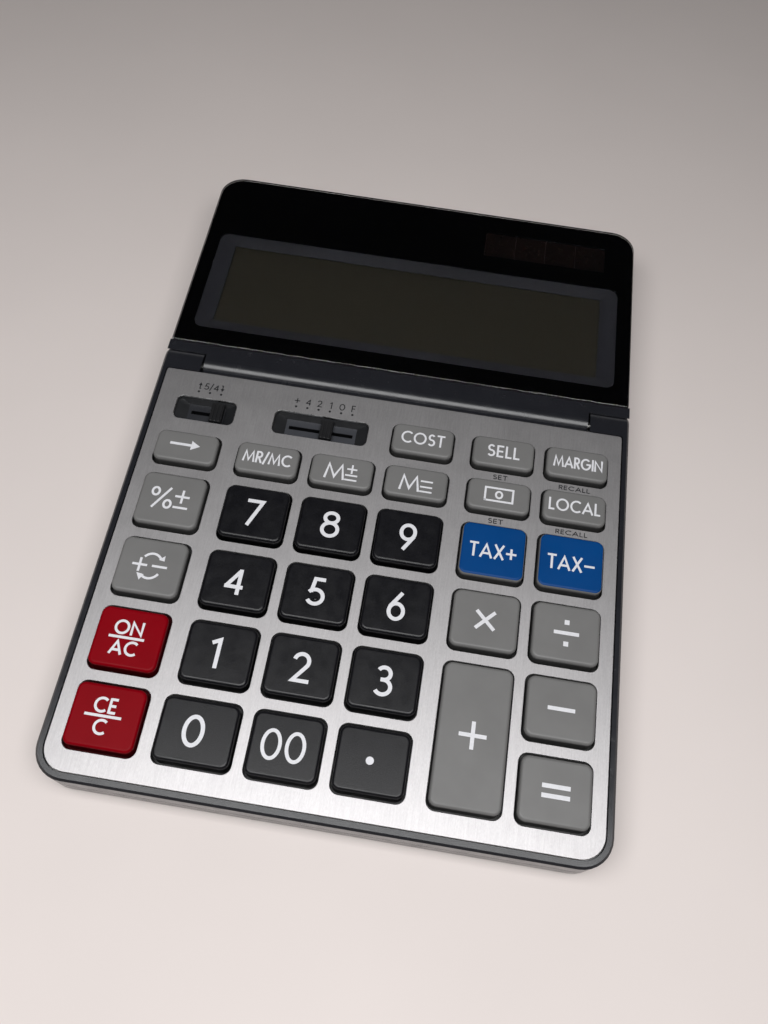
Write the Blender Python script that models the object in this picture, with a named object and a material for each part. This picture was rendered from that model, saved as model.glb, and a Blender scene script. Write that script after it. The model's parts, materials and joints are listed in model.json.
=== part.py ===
"""Desktop calculator with a tilting display, modelled as separate pieces.

Lengths are in metres. The deck frame has X to the right, Y up the keyboard from the
front edge of the faceplate and Z square to the faceplate, whose top face is at zero.
The display frame sits on the hinge axis, with Y towards the far edge of the display.
"""

from math import cos, pi, radians, sin, sqrt, tan

import bmesh
import bpy
from mathutils import Vector
from mathutils.geometry import tessellate_polygon

# Fits and fineness
FIT_GAP = 0.0003
CUT_OVERRUN = 0.004
CORNER_STEPS = 2
BODY_CORNER_STEPS = 8
ROUND_SIDES = 16
BARREL_SIDES = 32
DOME_SIDES = 6

# Key grid and faceplate
KEY_HOLE_WIDTH = 0.0186
KEY_HOLE_DEPTH = 0.0175
SMALL_KEY_HOLE_DEPTH = 0.01135
KEY_HOLE_RADIUS = 0.0024
KEY_WEB = 0.00293
GROUP_WEB = 0.0051
ZERO_KEY_WIDENING = 0.0014
SIDE_MARGIN = 0.0039
FRONT_MARGIN = 0.0055
HEAD_MARGIN = 0.0075
FACEPLATE_THICKNESS = 0.0008
FACEPLATE_REAR_RADIUS = 0.0009

# Keys
KEY_TRAVEL = 0.0016
KEY_HEIGHT = 0.0023
KEY_CLEARANCE = 0.0003
KEY_SIDE_SLOPE = 0.00055
KEY_END_SLOPE = 0.00095
KEY_EDGE = 0.00035
KEY_WALL = 0.0013
KEY_ROOF = 0.0015
KEY_OPENING_EASE = 0.0002
KEY_FLANGE_REACH = 0.00095
KEY_FLANGE_THICKNESS = 0.0008
KEY_STEM_RADIUS = 0.0018
TOUCH_PIP_RADIUS = 0.0006
TOUCH_PIP_HEIGHT = 0.0003
TOUCH_PIP_SETBACK = 0.0017

# Key mat and main board
MAT_THICKNESS = 0.0007
DOME_HEIGHT = 0.0015
DOME_FOOT_RADIUS = 0.0036
DOME_CROWN_RADIUS = 0.0031
DOME_BORE_RADIUS = 0.0024
STEM_ENTRY = 0.0003
BOARD_THICKNESS = 0.0012
BOARD_EDGE_GAP = 0.0006
CHIP_SIZE = 0.0090
CHIP_THICKNESS = 0.0011

# Body
RIM_WIDTH = 0.0021
RIM_DROP = 0.00015
RIM_CHAMFER = 0.0006
BODY_CORNER_RADIUS = 0.0083
WALL = 0.0018
DECK_THICKNESS = 0.0015
UPPER_WALL_DEPTH = 0.0065
BODY_FRONT_THICKNESS = 0.0125
WEDGE_ANGLE = radians(2.2)
BASE_CHAMFER = 0.0008
TRAY_THICKNESS = 0.0018
BOARD_POST_REAR_INSET = 0.0070

# Fasteners and feet
SCREW_RADIUS = 0.0009
SCREW_HEAD_RADIUS = 0.0018
SCREW_HEAD_THICKNESS = 0.0014
SCREW_SINK = 0.0006
POST_RADIUS = 0.0025
BOSS_RADIUS = 0.0020
TRAY_BOSS_LENGTH = 0.0014
SCREW_SIDE_INSET = 0.0090
SCREW_FRONT_INSET = 0.0023
SCREW_REAR_INSET = 0.0190
FOOT_RADIUS = 0.0050
FOOT_PROUD = 0.0015
FOOT_POCKET = 0.0006
FOOT_SIDE_INSET = 0.0190
FOOT_FRONT_INSET = 0.0110
FOOT_REAR_INSET = 0.0085

# Battery
CELL_RADIUS = 0.0100
CELL_THICKNESS = 0.0032
CELL_SIDE_OFFSET = 0.0360
CELL_REAR_INSET = 0.0210
DOOR_RADIUS = 0.0112
DOOR_SLOT_WIDTH = 0.0016
DOOR_SLOT_LENGTH = 0.0140
DOOR_SLOT_DEPTH = 0.0008
CELL_WELL_WALL = 0.0013
CONTACT_WIDTH = 0.0030
CONTACT_LEAF = 0.0009
CONTACT_SPACING = 0.0075

# Slide switches
SWITCH_STEP = 0.0034
SWITCH_WINDOW_DEPTH = 0.0080
SWITCH_WINDOW_RADIUS = 0.0018
SWITCH_SETBACK = 0.01295
SWITCH_RAMP = 0.0035
SWITCH_SIDE_RAMP = 0.0012
SWITCH_RECESS = 0.0014
SWITCH_WALL = 0.0008
ROUNDING_SWITCH_INSET = 0.0148
ROUNDING_POSITIONS = 3
ROUNDING_REST_POSITION = 2
DECIMAL_SWITCH_INSET = 0.0495
DECIMAL_POSITIONS = 6
DECIMAL_REST_POSITION = 3
KNOB_WIDTH = 0.0037
KNOB_SIDE_GAP = 0.0002
KNOB_SINK = 0.0003
KNOB_LEG_WIDTH = 0.0016
KNOB_LEG_DEPTH = 0.0022

# Hinge
BARREL_RADIUS = 0.0039
EAR_RADIUS = 0.00415
EAR_WIDTH = 0.0118
EAR_END_GAP = 0.0005
HINGE_WEB = 0.0004
HINGE_WALL = 0.0015
PIN_RADIUS = 0.0015
PIN_EAR_LENGTH = 0.0060
PIN_BARREL_LENGTH = 0.0070
BARREL_WEB_DEPTH = 0.0022

# Display
DISPLAY_SEAM_DISTANCE = 0.00635
DISPLAY_THICKNESS = 0.0090
DISPLAY_REST_TILT = radians(0.7)
DISPLAY_CORNER_RADIUS = 0.0075
DISPLAY_SIDE_STEP = 0.0003
DISPLAY_SEAM_RADIUS = 0.0004
WINDOW_THICKNESS = 0.0012
DISPLAY_SKIN = 0.0012
DISPLAY_BACK_THICKNESS = 0.0017
DISPLAY_BACK_CHAMFER = 0.0009
LCD_FRAME_SIDE_INSET = 0.004595
LCD_FRAME_DEPTH = 0.0399
LCD_FRAME_SETBACK = 0.0066
LCD_FRAME_SIDE_FACE = 0.0055
LCD_FRAME_END_FACE = 0.0041
LCD_FRAME_RADIUS = 0.0028
LCD_FRAME_THICKNESS = 0.0012
LCD_VIEW_RADIUS = 0.0005
LCD_GLASS_BORDER = 0.0024
LCD_GLASS_THICKNESS = 0.0022
SOLAR_CELL_WIDTH = 0.0405
SOLAR_CELL_DEPTH = 0.0108
SOLAR_CELL_THICKNESS = 0.0011
SOLAR_CELL_SIDE_INSET = 0.0095
SOLAR_CELL_TOP_INSET = 0.0074
SOLAR_CELL_TO_FRAME = 0.0068

# Keys by name, with the column, the row and the number of rows that each one spans
KEYS = [
    ("key_clear", 0, 0, 1), ("key_0", 1, 0, 1), ("key_00", 2, 0, 1),
    ("key_point", 3, 0, 1), ("key_plus", 4, 0, 2), ("key_equals", 5, 0, 1),
    ("key_on", 0, 1, 1), ("key_1", 1, 1, 1), ("key_2", 2, 1, 1),
    ("key_3", 3, 1, 1), ("key_minus", 5, 1, 1),
    ("key_sign", 0, 2, 1), ("key_4", 1, 2, 1), ("key_5", 2, 2, 1),
    ("key_6", 3, 2, 1), ("key_times", 4, 2, 1), ("key_divide", 5, 2, 1),
    ("key_percent", 0, 3, 1), ("key_7", 1, 3, 1), ("key_8", 2, 3, 1),
    ("key_9", 3, 3, 1), ("key_tax_add", 4, 3, 1), ("key_tax_take", 5, 3, 1),
    ("key_back", 0, 4, 1), ("key_memory_recall", 1, 4, 1), ("key_memory_add", 2, 4, 1),
    ("key_memory_take", 3, 4, 1), ("key_currency", 4, 4, 1), ("key_local", 5, 4, 1),
    ("key_cost", 3, 5, 1), ("key_sell", 4, 5, 1), ("key_margin", 5, 5, 1),
]
RED_KEYS = {"key_clear", "key_on"}
BLUE_KEYS = {"key_tax_add", "key_tax_take"}
NUMBER_KEYS = {"key_" + label for label in
               ("0", "00", "point", "1", "2", "3", "4", "5", "6", "7", "8", "9")}
FULL_ROWS = 4
COLUMNS = 6
ROWS = 6

# Sizes worked out from the key grid
FACEPLATE_WIDTH = (COLUMNS * KEY_HOLE_WIDTH + (COLUMNS - 3) * KEY_WEB
                   + 2 * GROUP_WEB + 2 * SIDE_MARGIN)
FACEPLATE_DEPTH = (FRONT_MARGIN + FULL_ROWS * KEY_HOLE_DEPTH
                   + (ROWS - FULL_ROWS) * SMALL_KEY_HOLE_DEPTH
                   + (ROWS - 1) * KEY_WEB + HEAD_MARGIN)
HALF_PLATE = FACEPLATE_WIDTH / 2
HALF_BODY = HALF_PLATE + RIM_WIDTH
HALF_DISPLAY = HALF_BODY - DISPLAY_SIDE_STEP

# Sizes worked out from what the display holds
LCD_FRAME_WIDTH = 2 * (HALF_DISPLAY - LCD_FRAME_SIDE_INSET)
LCD_VIEW_WIDTH = LCD_FRAME_WIDTH - 2 * LCD_FRAME_SIDE_FACE
LCD_VIEW_DEPTH = LCD_FRAME_DEPTH - 2 * LCD_FRAME_END_FACE
DISPLAY_LENGTH = (LCD_FRAME_SETBACK + LCD_FRAME_DEPTH + SOLAR_CELL_TO_FRAME
                  + SOLAR_CELL_DEPTH + SOLAR_CELL_TOP_INSET)

# Levels under the top face of the faceplate
RECESS_FLOOR = -(FACEPLATE_THICKNESS + FIT_GAP)
DECK_UNDER = RECESS_FLOOR - DECK_THICKNESS
FLANGE_TOP = DECK_UNDER - FIT_GAP
FLANGE_UNDER = FLANGE_TOP - KEY_FLANGE_THICKNESS
MAT_TOP = FLANGE_UNDER - KEY_TRAVEL - FIT_GAP
MAT_UNDER = MAT_TOP - MAT_THICKNESS
BOARD_TOP = MAT_UNDER - FIT_GAP
BOARD_UNDER = BOARD_TOP - BOARD_THICKNESS
RIM_TOP = -RIM_DROP

# Places along the deck
MAT_FRONT = SCREW_FRONT_INSET + BOSS_RADIUS + FIT_GAP
HINGE_Y = FACEPLATE_DEPTH + FIT_GAP + HINGE_WEB + FIT_GAP + BARREL_RADIUS
HINGE_Z = RIM_TOP - EAR_RADIUS
TROUGH_FRONT = HINGE_Y - BARREL_RADIUS - FIT_GAP
TRAY_FRONT = TROUGH_FRONT - HINGE_WALL
EAR_REAR = HINGE_Y + EAR_RADIUS
BODY_REAR = HINGE_Y + DISPLAY_SEAM_DISTANCE + DISPLAY_LENGTH
DISPLAY_END = DISPLAY_SEAM_DISTANCE + DISPLAY_LENGTH
DISPLAY_UNDER = BARREL_RADIUS - DISPLAY_THICKNESS
TRAY_TOP = (HINGE_Z + DISPLAY_UNDER * cos(DISPLAY_REST_TILT)
            - DISPLAY_END * sin(DISPLAY_REST_TILT) - FIT_GAP)
TRAY_UNDER = TRAY_TOP - TRAY_THICKNESS
EAR_INNER_X = HALF_BODY - EAR_WIDTH
BARREL_END_X = EAR_INNER_X - EAR_END_GAP
HINGE_CLEARANCE_RADIUS = EAR_RADIUS + FIT_GAP

# Levels of the display, from the hinge axis
WINDOW_UNDER = BARREL_RADIUS - WINDOW_THICKNESS
DISPLAY_SHELF = WINDOW_UNDER - FIT_GAP
LCD_FRAME_UNDER = DISPLAY_SHELF - LCD_FRAME_THICKNESS
GLASS_TOP = LCD_FRAME_UNDER - FIT_GAP
GLASS_UNDER = GLASS_TOP - LCD_GLASS_THICKNESS
DISPLAY_BACK_TOP = DISPLAY_UNDER + DISPLAY_BACK_THICKNESS
DISPLAY_SPLIT = DISPLAY_BACK_TOP + FIT_GAP
LCD_BOARD_UNDER = DISPLAY_SPLIT
LCD_BOARD_TOP = GLASS_UNDER - FIT_GAP
LCD_MIDDLE_Y = DISPLAY_SEAM_DISTANCE + LCD_FRAME_SETBACK + LCD_FRAME_DEPTH / 2


def base_plane(lift=0.0):
    """Level of the underside of the body along the deck, raised by lift."""
    return lambda y: -BODY_FRONT_THICKNESS - y * tan(WEDGE_ANGLE) + lift


# Shape tools
def rounded_outline(left, right, front, rear, front_radius, rear_radius, steps):
    """Points of a rounded rectangle, counter-clockwise from its front left corner."""
    corners = [
        (left + front_radius, front + front_radius, front_radius, 2),
        (right - front_radius, front + front_radius, front_radius, 3),
        (right - rear_radius, rear - rear_radius, rear_radius, 0),
        (left + rear_radius, rear - rear_radius, rear_radius, 1),
    ]
    points = []
    for x, y, radius, quarter in corners:
        for step in range(steps + 1):
            turn = (quarter + step / steps) * pi / 2
            points.append((x + radius * cos(turn), y + radius * sin(turn)))
    return points


def rectangle(left, right, front, rear):
    """The four corners of a rectangle, counter-clockwise."""
    return [(left, front), (right, front), (right, rear), (left, rear)]


def circle(x, y, radius, sides=ROUND_SIDES):
    """Points of a circle, counter-clockwise."""
    turns = [2 * pi * side / sides for side in range(sides)]
    return [(x + radius * cos(turn), y + radius * sin(turn)) for turn in turns]


def at_level(outline, level):
    """The points of an outline at a level, which may slope along the deck."""
    if callable(level):
        return [(x, y, level(y)) for x, y in outline]
    return [(x, y, level) for x, y in outline]


def add_rings(mesh, rings, closed=False):
    """Skin rings of points that have the same count, and cap both ends."""
    loops = [[mesh.verts.new(point) for point in ring] for ring in rings]
    pairs = list(zip(loops, loops[1:]))
    if closed:
        pairs.append((loops[-1], loops[0]))
    for first, second in pairs:
        for index, corner in enumerate(first):
            following = (index + 1) % len(first)
            mesh.faces.new((corner, first[following], second[following], second[index]))
    if not closed:
        mesh.faces.new(list(reversed(loops[0])))
        mesh.faces.new(loops[-1])


def add_loft(mesh, sections):
    """Skin outlines, each with its level."""
    add_rings(mesh, [at_level(outline, level) for outline, level in sections])


def add_box(mesh, left, right, front, rear, low, high):
    """A box whose low and high levels may slope along the deck."""
    outline = rectangle(left, right, front, rear)
    add_loft(mesh, [(outline, low), (outline, high)])


def add_post(mesh, x, y, radius, low, high, sides=ROUND_SIDES):
    """A round post standing on the deck."""
    outline = circle(x, y, radius, sides)
    add_loft(mesh, [(outline, low), (outline, high)])


def add_bar(mesh, radius, left, right, sides=BARREL_SIDES):
    """A round bar along X on the origin of its frame."""
    ring = circle(0, 0, radius, sides)
    add_rings(mesh, [[(x, y, z) for y, z in ring] for x in (left, right)])


def add_pierced_plate(mesh, outline, holes, low, high):
    """A flat plate with holes through it."""
    loops = [outline] + holes
    triangles = tessellate_polygon([[Vector((x, y, 0)) for x, y in loop] for loop in loops])
    lower = [mesh.verts.new((x, y, low)) for loop in loops for x, y in loop]
    upper = [mesh.verts.new((x, y, high)) for loop in loops for x, y in loop]
    for first, second, third in triangles:
        mesh.faces.new((upper[first], upper[second], upper[third]))
        mesh.faces.new((lower[third], lower[second], lower[first]))
    start = 0
    for loop in loops:
        count = len(loop)
        for index in range(count):
            this = start + index
            following = start + (index + 1) % count
            mesh.faces.new((lower[this], lower[following], upper[following], upper[this]))
        start += count


def add_object(name, mesh, parent, material=None):
    """Turn a bmesh into a named object under a frame."""
    bmesh.ops.recalc_face_normals(mesh, faces=mesh.faces)
    data = bpy.data.meshes.new(name)
    mesh.to_mesh(data)
    mesh.free()
    if material:
        data.materials.append(material)
    piece = bpy.data.objects.new(name, data)
    piece.parent = parent
    bpy.context.scene.collection.objects.link(piece)
    return piece


def combine(target, mesh, operation):
    """Cut a bmesh from a piece, or join it on, with a Boolean modifier."""
    name = f"{target.name}_{operation.lower()}_{len(target.modifiers)}"
    tool = add_object(name, mesh, target.parent)
    tool.hide_render = True
    tool.display_type = 'WIRE'
    step = target.modifiers.new(name, 'BOOLEAN')
    step.operation = operation
    step.solver = 'EXACT'
    step.object = tool


def round_off(piece):
    """Shade the round faces of a piece smooth and keep its edges sharp."""
    piece.data.shade_smooth()
    piece.data.set_sharp_from_angle(angle=radians(35))


def finish(name, colour, roughness, metallic=0.0):
    """A plain surface finish."""
    material = bpy.data.materials.new(name)
    material.use_nodes = True
    shader = material.node_tree.nodes["Principled BSDF"]
    shader.inputs["Base Color"].default_value = (*colour, 1.0)
    shader.inputs["Roughness"].default_value = roughness
    shader.inputs["Metallic"].default_value = metallic
    return material


# Places on the key grid
def column_span(column):
    """Left and right edge of a column of key holes."""
    wide_webs = (column > 0) + (column > 3)
    left = -HALF_PLATE + SIDE_MARGIN + column * KEY_HOLE_WIDTH
    left += (column - wide_webs) * KEY_WEB + wide_webs * GROUP_WEB
    return left, left + KEY_HOLE_WIDTH


def row_span(row):
    """Front and rear edge of a row of key holes."""
    full_rows = min(row, FULL_ROWS)
    small_rows = row - full_rows
    front = FRONT_MARGIN + row * KEY_WEB
    front += full_rows * KEY_HOLE_DEPTH + small_rows * SMALL_KEY_HOLE_DEPTH
    depth = KEY_HOLE_DEPTH if row < FULL_ROWS else SMALL_KEY_HOLE_DEPTH
    return front, front + depth


def key_hole(name, column, row, rows):
    """Edges of a key's hole: left, right, front and rear."""
    left, right = column_span(column)
    if name == "key_0":
        left -= ZERO_KEY_WIDENING
    front = row_span(row)[0]
    rear = row_span(row + rows - 1)[1]
    return left, right, front, rear


def switch_places():
    """Middle, floor length and count of positions of each slide switch."""
    places = {}
    for name, inset, positions in (
        ("rounding", ROUNDING_SWITCH_INSET, ROUNDING_POSITIONS),
        ("decimal", DECIMAL_SWITCH_INSET, DECIMAL_POSITIONS),
    ):
        floor = (positions - 1) * SWITCH_STEP + KNOB_WIDTH + 2 * KNOB_SIDE_GAP
        places[name] = (inset - HALF_PLATE, floor, positions)
    return places


SWITCH_Y = FACEPLATE_DEPTH - SWITCH_SETBACK


def switch_window(middle, floor, grow=0.0):
    """Edges of a switch window, grown on all sides."""
    half_length = floor / 2 + SWITCH_RAMP + grow
    half_depth = SWITCH_WINDOW_DEPTH / 2 + grow
    return middle - half_length, middle + half_length, SWITCH_Y - half_depth, SWITCH_Y + half_depth


def body_outline(front, rear, inset, front_radius, rear_radius):
    """Outline of the body between two places along the deck, drawn in by inset."""
    return rounded_outline(
        -HALF_BODY + inset, HALF_BODY - inset, front + inset, rear - inset,
        front_radius - inset, rear_radius - inset, BODY_CORNER_STEPS)


def front_screws():
    """Places of the screws at the front of the case."""
    side = HALF_BODY - SCREW_SIDE_INSET
    return [(-side, SCREW_FRONT_INSET), (side, SCREW_FRONT_INSET)]


def rear_screws():
    """Places of the screws under the tray."""
    side = HALF_BODY - SCREW_SIDE_INSET
    rear = BODY_REAR - SCREW_REAR_INSET
    return [(-side, rear), (side, rear)]


def feet_places():
    """Places of the feet."""
    side = HALF_BODY - FOOT_SIDE_INSET
    return [(x, y) for y in (FOOT_FRONT_INSET - RIM_WIDTH, BODY_REAR - FOOT_REAR_INSET)
            for x in (-side, side)]


# Faceplate and cases
def make_faceplate(deck, material):
    """The brushed plate with a hole for each key and a window for each switch."""
    outline = rounded_outline(
        -HALF_PLATE, HALF_PLATE, 0, FACEPLATE_DEPTH,
        BODY_CORNER_RADIUS - RIM_WIDTH, FACEPLATE_REAR_RADIUS, BODY_CORNER_STEPS)
    holes = [
        rounded_outline(*key_hole(name, column, row, rows), KEY_HOLE_RADIUS, KEY_HOLE_RADIUS,
                        CORNER_STEPS)
        for name, column, row, rows in KEYS]
    holes += [
        rounded_outline(*switch_window(middle, floor), SWITCH_WINDOW_RADIUS,
                        SWITCH_WINDOW_RADIUS, CORNER_STEPS)
        for middle, floor, positions in switch_places().values()]
    mesh = bmesh.new()
    add_pierced_plate(mesh, outline, holes, -FACEPLATE_THICKNESS, 0)
    add_object("faceplate", mesh, deck, material)


def ear_profile(inset):
    """Side profile of a hinge ear, drawn in by inset at its top and rear."""
    radius = EAR_RADIUS - inset
    steps = BARREL_SIDES // 4
    low = TRAY_UNDER + TRAY_THICKNESS / 2
    arc = [(HINGE_Y + radius * cos(step * pi / 2 / steps),
            HINGE_Z + radius * sin(step * pi / 2 / steps)) for step in range(steps + 1)]
    return [(TRAY_FRONT, low), (HINGE_Y + radius, low)] + arc + [(TRAY_FRONT, HINGE_Z + radius)]


def make_upper_case(deck, material):
    """The rim and deck round the faceplate, the hinge ears and the display tray."""
    mesh = bmesh.new()
    full = body_outline(-RIM_WIDTH, TROUGH_FRONT, 0, BODY_CORNER_RADIUS, RIM_CHAMFER + FIT_GAP)
    drawn_in = body_outline(-RIM_WIDTH, TROUGH_FRONT, RIM_CHAMFER, BODY_CORNER_RADIUS,
                            RIM_CHAMFER + FIT_GAP)
    add_loft(mesh, [(full, -UPPER_WALL_DEPTH), (full, RIM_TOP - RIM_CHAMFER),
                    (drawn_in, RIM_TOP)])
    case = add_object("upper_case", mesh, deck, material)

    hollow = bmesh.new()
    inner = body_outline(-RIM_WIDTH, TROUGH_FRONT, WALL, BODY_CORNER_RADIUS, WALL + FIT_GAP)
    add_loft(hollow, [(inner, -UPPER_WALL_DEPTH - CUT_OVERRUN), (inner, DECK_UNDER)])
    combine(case, hollow, 'DIFFERENCE')

    wall = bmesh.new()
    add_box(wall, -HALF_BODY, HALF_BODY, TRAY_FRONT, TROUGH_FRONT - FIT_GAP / 2,
            TRAY_UNDER + TRAY_THICKNESS / 2, DECK_UNDER + DECK_THICKNESS / 2)
    combine(case, wall, 'UNION')

    ears = bmesh.new()
    for side in (-1, 1):
        stations = [(EAR_INNER_X, 0), (HALF_BODY - RIM_CHAMFER, 0), (HALF_BODY, RIM_CHAMFER)]
        add_rings(ears, [[(side * x, y, z) for y, z in ear_profile(inset)]
                         for x, inset in stations])
    combine(case, ears, 'UNION')

    tray = bmesh.new()
    outline = body_outline(TRAY_FRONT, BODY_REAR, 0, FIT_GAP, DISPLAY_CORNER_RADIUS)
    add_loft(tray, [(outline, TRAY_UNDER), (outline, TRAY_TOP)])
    combine(case, tray, 'UNION')

    recess = bmesh.new()
    seat = rounded_outline(
        -HALF_PLATE - FIT_GAP, HALF_PLATE + FIT_GAP, -FIT_GAP, FACEPLATE_DEPTH + FIT_GAP,
        BODY_CORNER_RADIUS - RIM_WIDTH + FIT_GAP, FACEPLATE_REAR_RADIUS, BODY_CORNER_STEPS)
    add_loft(recess, [(seat, RECESS_FLOOR), (seat, CUT_OVERRUN)])
    combine(case, recess, 'DIFFERENCE')

    openings = bmesh.new()
    for name, column, row, rows in KEYS:
        left, right, front, rear = key_hole(name, column, row, rows)
        add_box(openings, left - KEY_OPENING_EASE, right + KEY_OPENING_EASE,
                front - KEY_OPENING_EASE, rear + KEY_OPENING_EASE,
                DECK_UNDER - CUT_OVERRUN, CUT_OVERRUN)
    for middle, floor, positions in switch_places().values():
        add_box(openings, *switch_window(middle, floor, SWITCH_WALL + FIT_GAP),
                DECK_UNDER - CUT_OVERRUN, CUT_OVERRUN)
    combine(case, openings, 'DIFFERENCE')

    bores = bmesh.new()
    for side in (-1, 1):
        reach = EAR_INNER_X + PIN_EAR_LENGTH + FIT_GAP
        edges = sorted((side * (EAR_INNER_X - EAR_END_GAP), side * reach))
        ring = circle(HINGE_Y, HINGE_Z, PIN_RADIUS + FIT_GAP)
        add_rings(bores, [[(x, y, z) for y, z in ring] for x in edges])
    combine(case, bores, 'DIFFERENCE')

    bosses = bmesh.new()
    for x, y in front_screws():
        add_post(bosses, x, y, BOSS_RADIUS, BOARD_TOP + FIT_GAP, DECK_UNDER + FIT_GAP)
    for x, y in rear_screws():
        add_post(bosses, x, y, BOSS_RADIUS, TRAY_UNDER - TRAY_BOSS_LENGTH,
                 TRAY_UNDER + TRAY_THICKNESS / 2)
    combine(case, bosses, 'UNION')
    screw_bores = bmesh.new()
    for x, y in front_screws():
        add_post(screw_bores, x, y, SCREW_RADIUS + FIT_GAP, BOARD_TOP - CUT_OVERRUN, DECK_UNDER)
    for x, y in rear_screws():
        add_post(screw_bores, x, y, SCREW_RADIUS + FIT_GAP, TRAY_UNDER - CUT_OVERRUN,
                 TRAY_UNDER + TRAY_THICKNESS / 2)
    combine(case, screw_bores, 'DIFFERENCE')


def make_lower_case(deck, material):
    """The tub under the keyboard and the display."""
    mesh = bmesh.new()
    full = body_outline(-RIM_WIDTH, BODY_REAR, 0, BODY_CORNER_RADIUS, DISPLAY_CORNER_RADIUS)
    drawn_in = body_outline(-RIM_WIDTH, BODY_REAR, BASE_CHAMFER, BODY_CORNER_RADIUS,
                            DISPLAY_CORNER_RADIUS)
    parting = -UPPER_WALL_DEPTH - FIT_GAP
    add_loft(mesh, [(drawn_in, base_plane()), (full, base_plane(BASE_CHAMFER)), (full, parting)])
    case = add_object("lower_case", mesh, deck, material)

    step = bmesh.new()
    add_box(step, -HALF_BODY - CUT_OVERRUN, HALF_BODY + CUT_OVERRUN,
            TRAY_FRONT - FIT_GAP, BODY_REAR + CUT_OVERRUN,
            TRAY_UNDER - FIT_GAP, parting + CUT_OVERRUN)
    combine(case, step, 'DIFFERENCE')

    hollow = bmesh.new()
    inner = body_outline(-RIM_WIDTH, BODY_REAR, WALL, BODY_CORNER_RADIUS, DISPLAY_CORNER_RADIUS)
    add_loft(hollow, [(inner, base_plane(WALL)), (inner, parting + CUT_OVERRUN)])
    combine(case, hollow, 'DIFFERENCE')

    posts = bmesh.new()
    for x, y in front_screws():
        add_post(posts, x, y, POST_RADIUS, base_plane(WALL / 2), BOARD_UNDER - FIT_GAP)
    for x, y in front_screws():
        rear = TRAY_FRONT - BOARD_POST_REAR_INSET
        add_post(posts, x, rear, POST_RADIUS, base_plane(WALL / 2), BOARD_UNDER - FIT_GAP)
    for x, y in rear_screws():
        add_post(posts, x, y, POST_RADIUS, base_plane(WALL / 2),
                 TRAY_UNDER - TRAY_BOSS_LENGTH - FIT_GAP)
    add_post(posts, CELL_SIDE_OFFSET, CELL_Y, DOOR_RADIUS + FIT_GAP + CELL_WELL_WALL,
             base_plane(WALL / 2), base_plane(CELL_TOP_LIFT), BARREL_SIDES)
    combine(case, posts, 'UNION')

    bores = bmesh.new()
    for x, y in front_screws() + rear_screws():
        head = circle(x, y, SCREW_HEAD_RADIUS + FIT_GAP)
        shank = circle(x, y, SCREW_RADIUS + FIT_GAP)
        seat = SCREW_SINK + SCREW_HEAD_THICKNESS + FIT_GAP
        add_loft(bores, [(head, base_plane(-CUT_OVERRUN)), (head, base_plane(seat)),
                         (shank, base_plane(seat)), (shank, parting + CUT_OVERRUN)])
    combine(case, bores, 'DIFFERENCE')

    battery = bmesh.new()
    door = circle(CELL_SIDE_OFFSET, CELL_Y, DOOR_RADIUS + FIT_GAP, BARREL_SIDES)
    well = circle(CELL_SIDE_OFFSET, CELL_Y, CELL_RADIUS + FIT_GAP, BARREL_SIDES)
    add_loft(battery, [(door, base_plane(-CUT_OVERRUN)), (door, base_plane(WALL + FIT_GAP)),
                       (well, base_plane(WALL + FIT_GAP)),
                       (well, base_plane(CELL_TOP_LIFT + CUT_OVERRUN))])
    combine(case, battery, 'DIFFERENCE')

    pockets = bmesh.new()
    for x, y in feet_places():
        add_post(pockets, x, y, FOOT_RADIUS + FIT_GAP, base_plane(-CUT_OVERRUN),
                 base_plane(FOOT_POCKET))
    combine(case, pockets, 'DIFFERENCE')


def make_screws(deck, material):
    """The case screws, put in from below."""
    ends = [(place, DECK_UNDER - FIT_GAP) for place in front_screws()]
    ends += [(place, TRAY_UNDER) for place in rear_screws()]
    names = ("front_left", "front_right", "rear_left", "rear_right")
    for name, ((x, y), top) in zip(names, ends):
        mesh = bmesh.new()
        head = circle(x, y, SCREW_HEAD_RADIUS)
        shank = circle(x, y, SCREW_RADIUS)
        shoulder = base_plane(SCREW_SINK + SCREW_HEAD_THICKNESS)
        add_loft(mesh, [(head, base_plane(SCREW_SINK)), (head, shoulder), (shank, shoulder),
                        (shank, top)])
        round_off(add_object(f"case_screw_{name}", mesh, deck, material))


def make_feet(deck, material):
    """Four rubber feet in their pockets."""
    names = ("front_left", "front_right", "rear_left", "rear_right")
    for name, (x, y) in zip(names, feet_places()):
        mesh = bmesh.new()
        add_post(mesh, x, y, FOOT_RADIUS, base_plane(-FOOT_PROUD),
                 base_plane(FOOT_POCKET - FIT_GAP))
        round_off(add_object(f"rubber_foot_{name}", mesh, deck, material))


# Battery
CELL_Y = TRAY_FRONT - CELL_REAR_INSET
CELL_UNDER_LIFT = WALL + FIT_GAP
CELL_TOP_LIFT = CELL_UNDER_LIFT + CELL_THICKNESS


def make_battery(deck, cell_material, door_material):
    """A button cell and its twist door."""
    cell = bmesh.new()
    add_post(cell, CELL_SIDE_OFFSET, CELL_Y, CELL_RADIUS, base_plane(CELL_UNDER_LIFT),
             base_plane(CELL_TOP_LIFT), BARREL_SIDES)
    round_off(add_object("button_cell", cell, deck, cell_material))

    door_mesh = bmesh.new()
    add_post(door_mesh, CELL_SIDE_OFFSET, CELL_Y, DOOR_RADIUS, base_plane(),
             base_plane(WALL), BARREL_SIDES)
    door = add_object("battery_door", door_mesh, deck, door_material)
    slot = bmesh.new()
    add_box(slot, CELL_SIDE_OFFSET - DOOR_SLOT_LENGTH / 2, CELL_SIDE_OFFSET + DOOR_SLOT_LENGTH / 2,
            CELL_Y - DOOR_SLOT_WIDTH / 2, CELL_Y + DOOR_SLOT_WIDTH / 2,
            base_plane(-CUT_OVERRUN), base_plane(DOOR_SLOT_DEPTH))
    combine(door, slot, 'DIFFERENCE')


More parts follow.
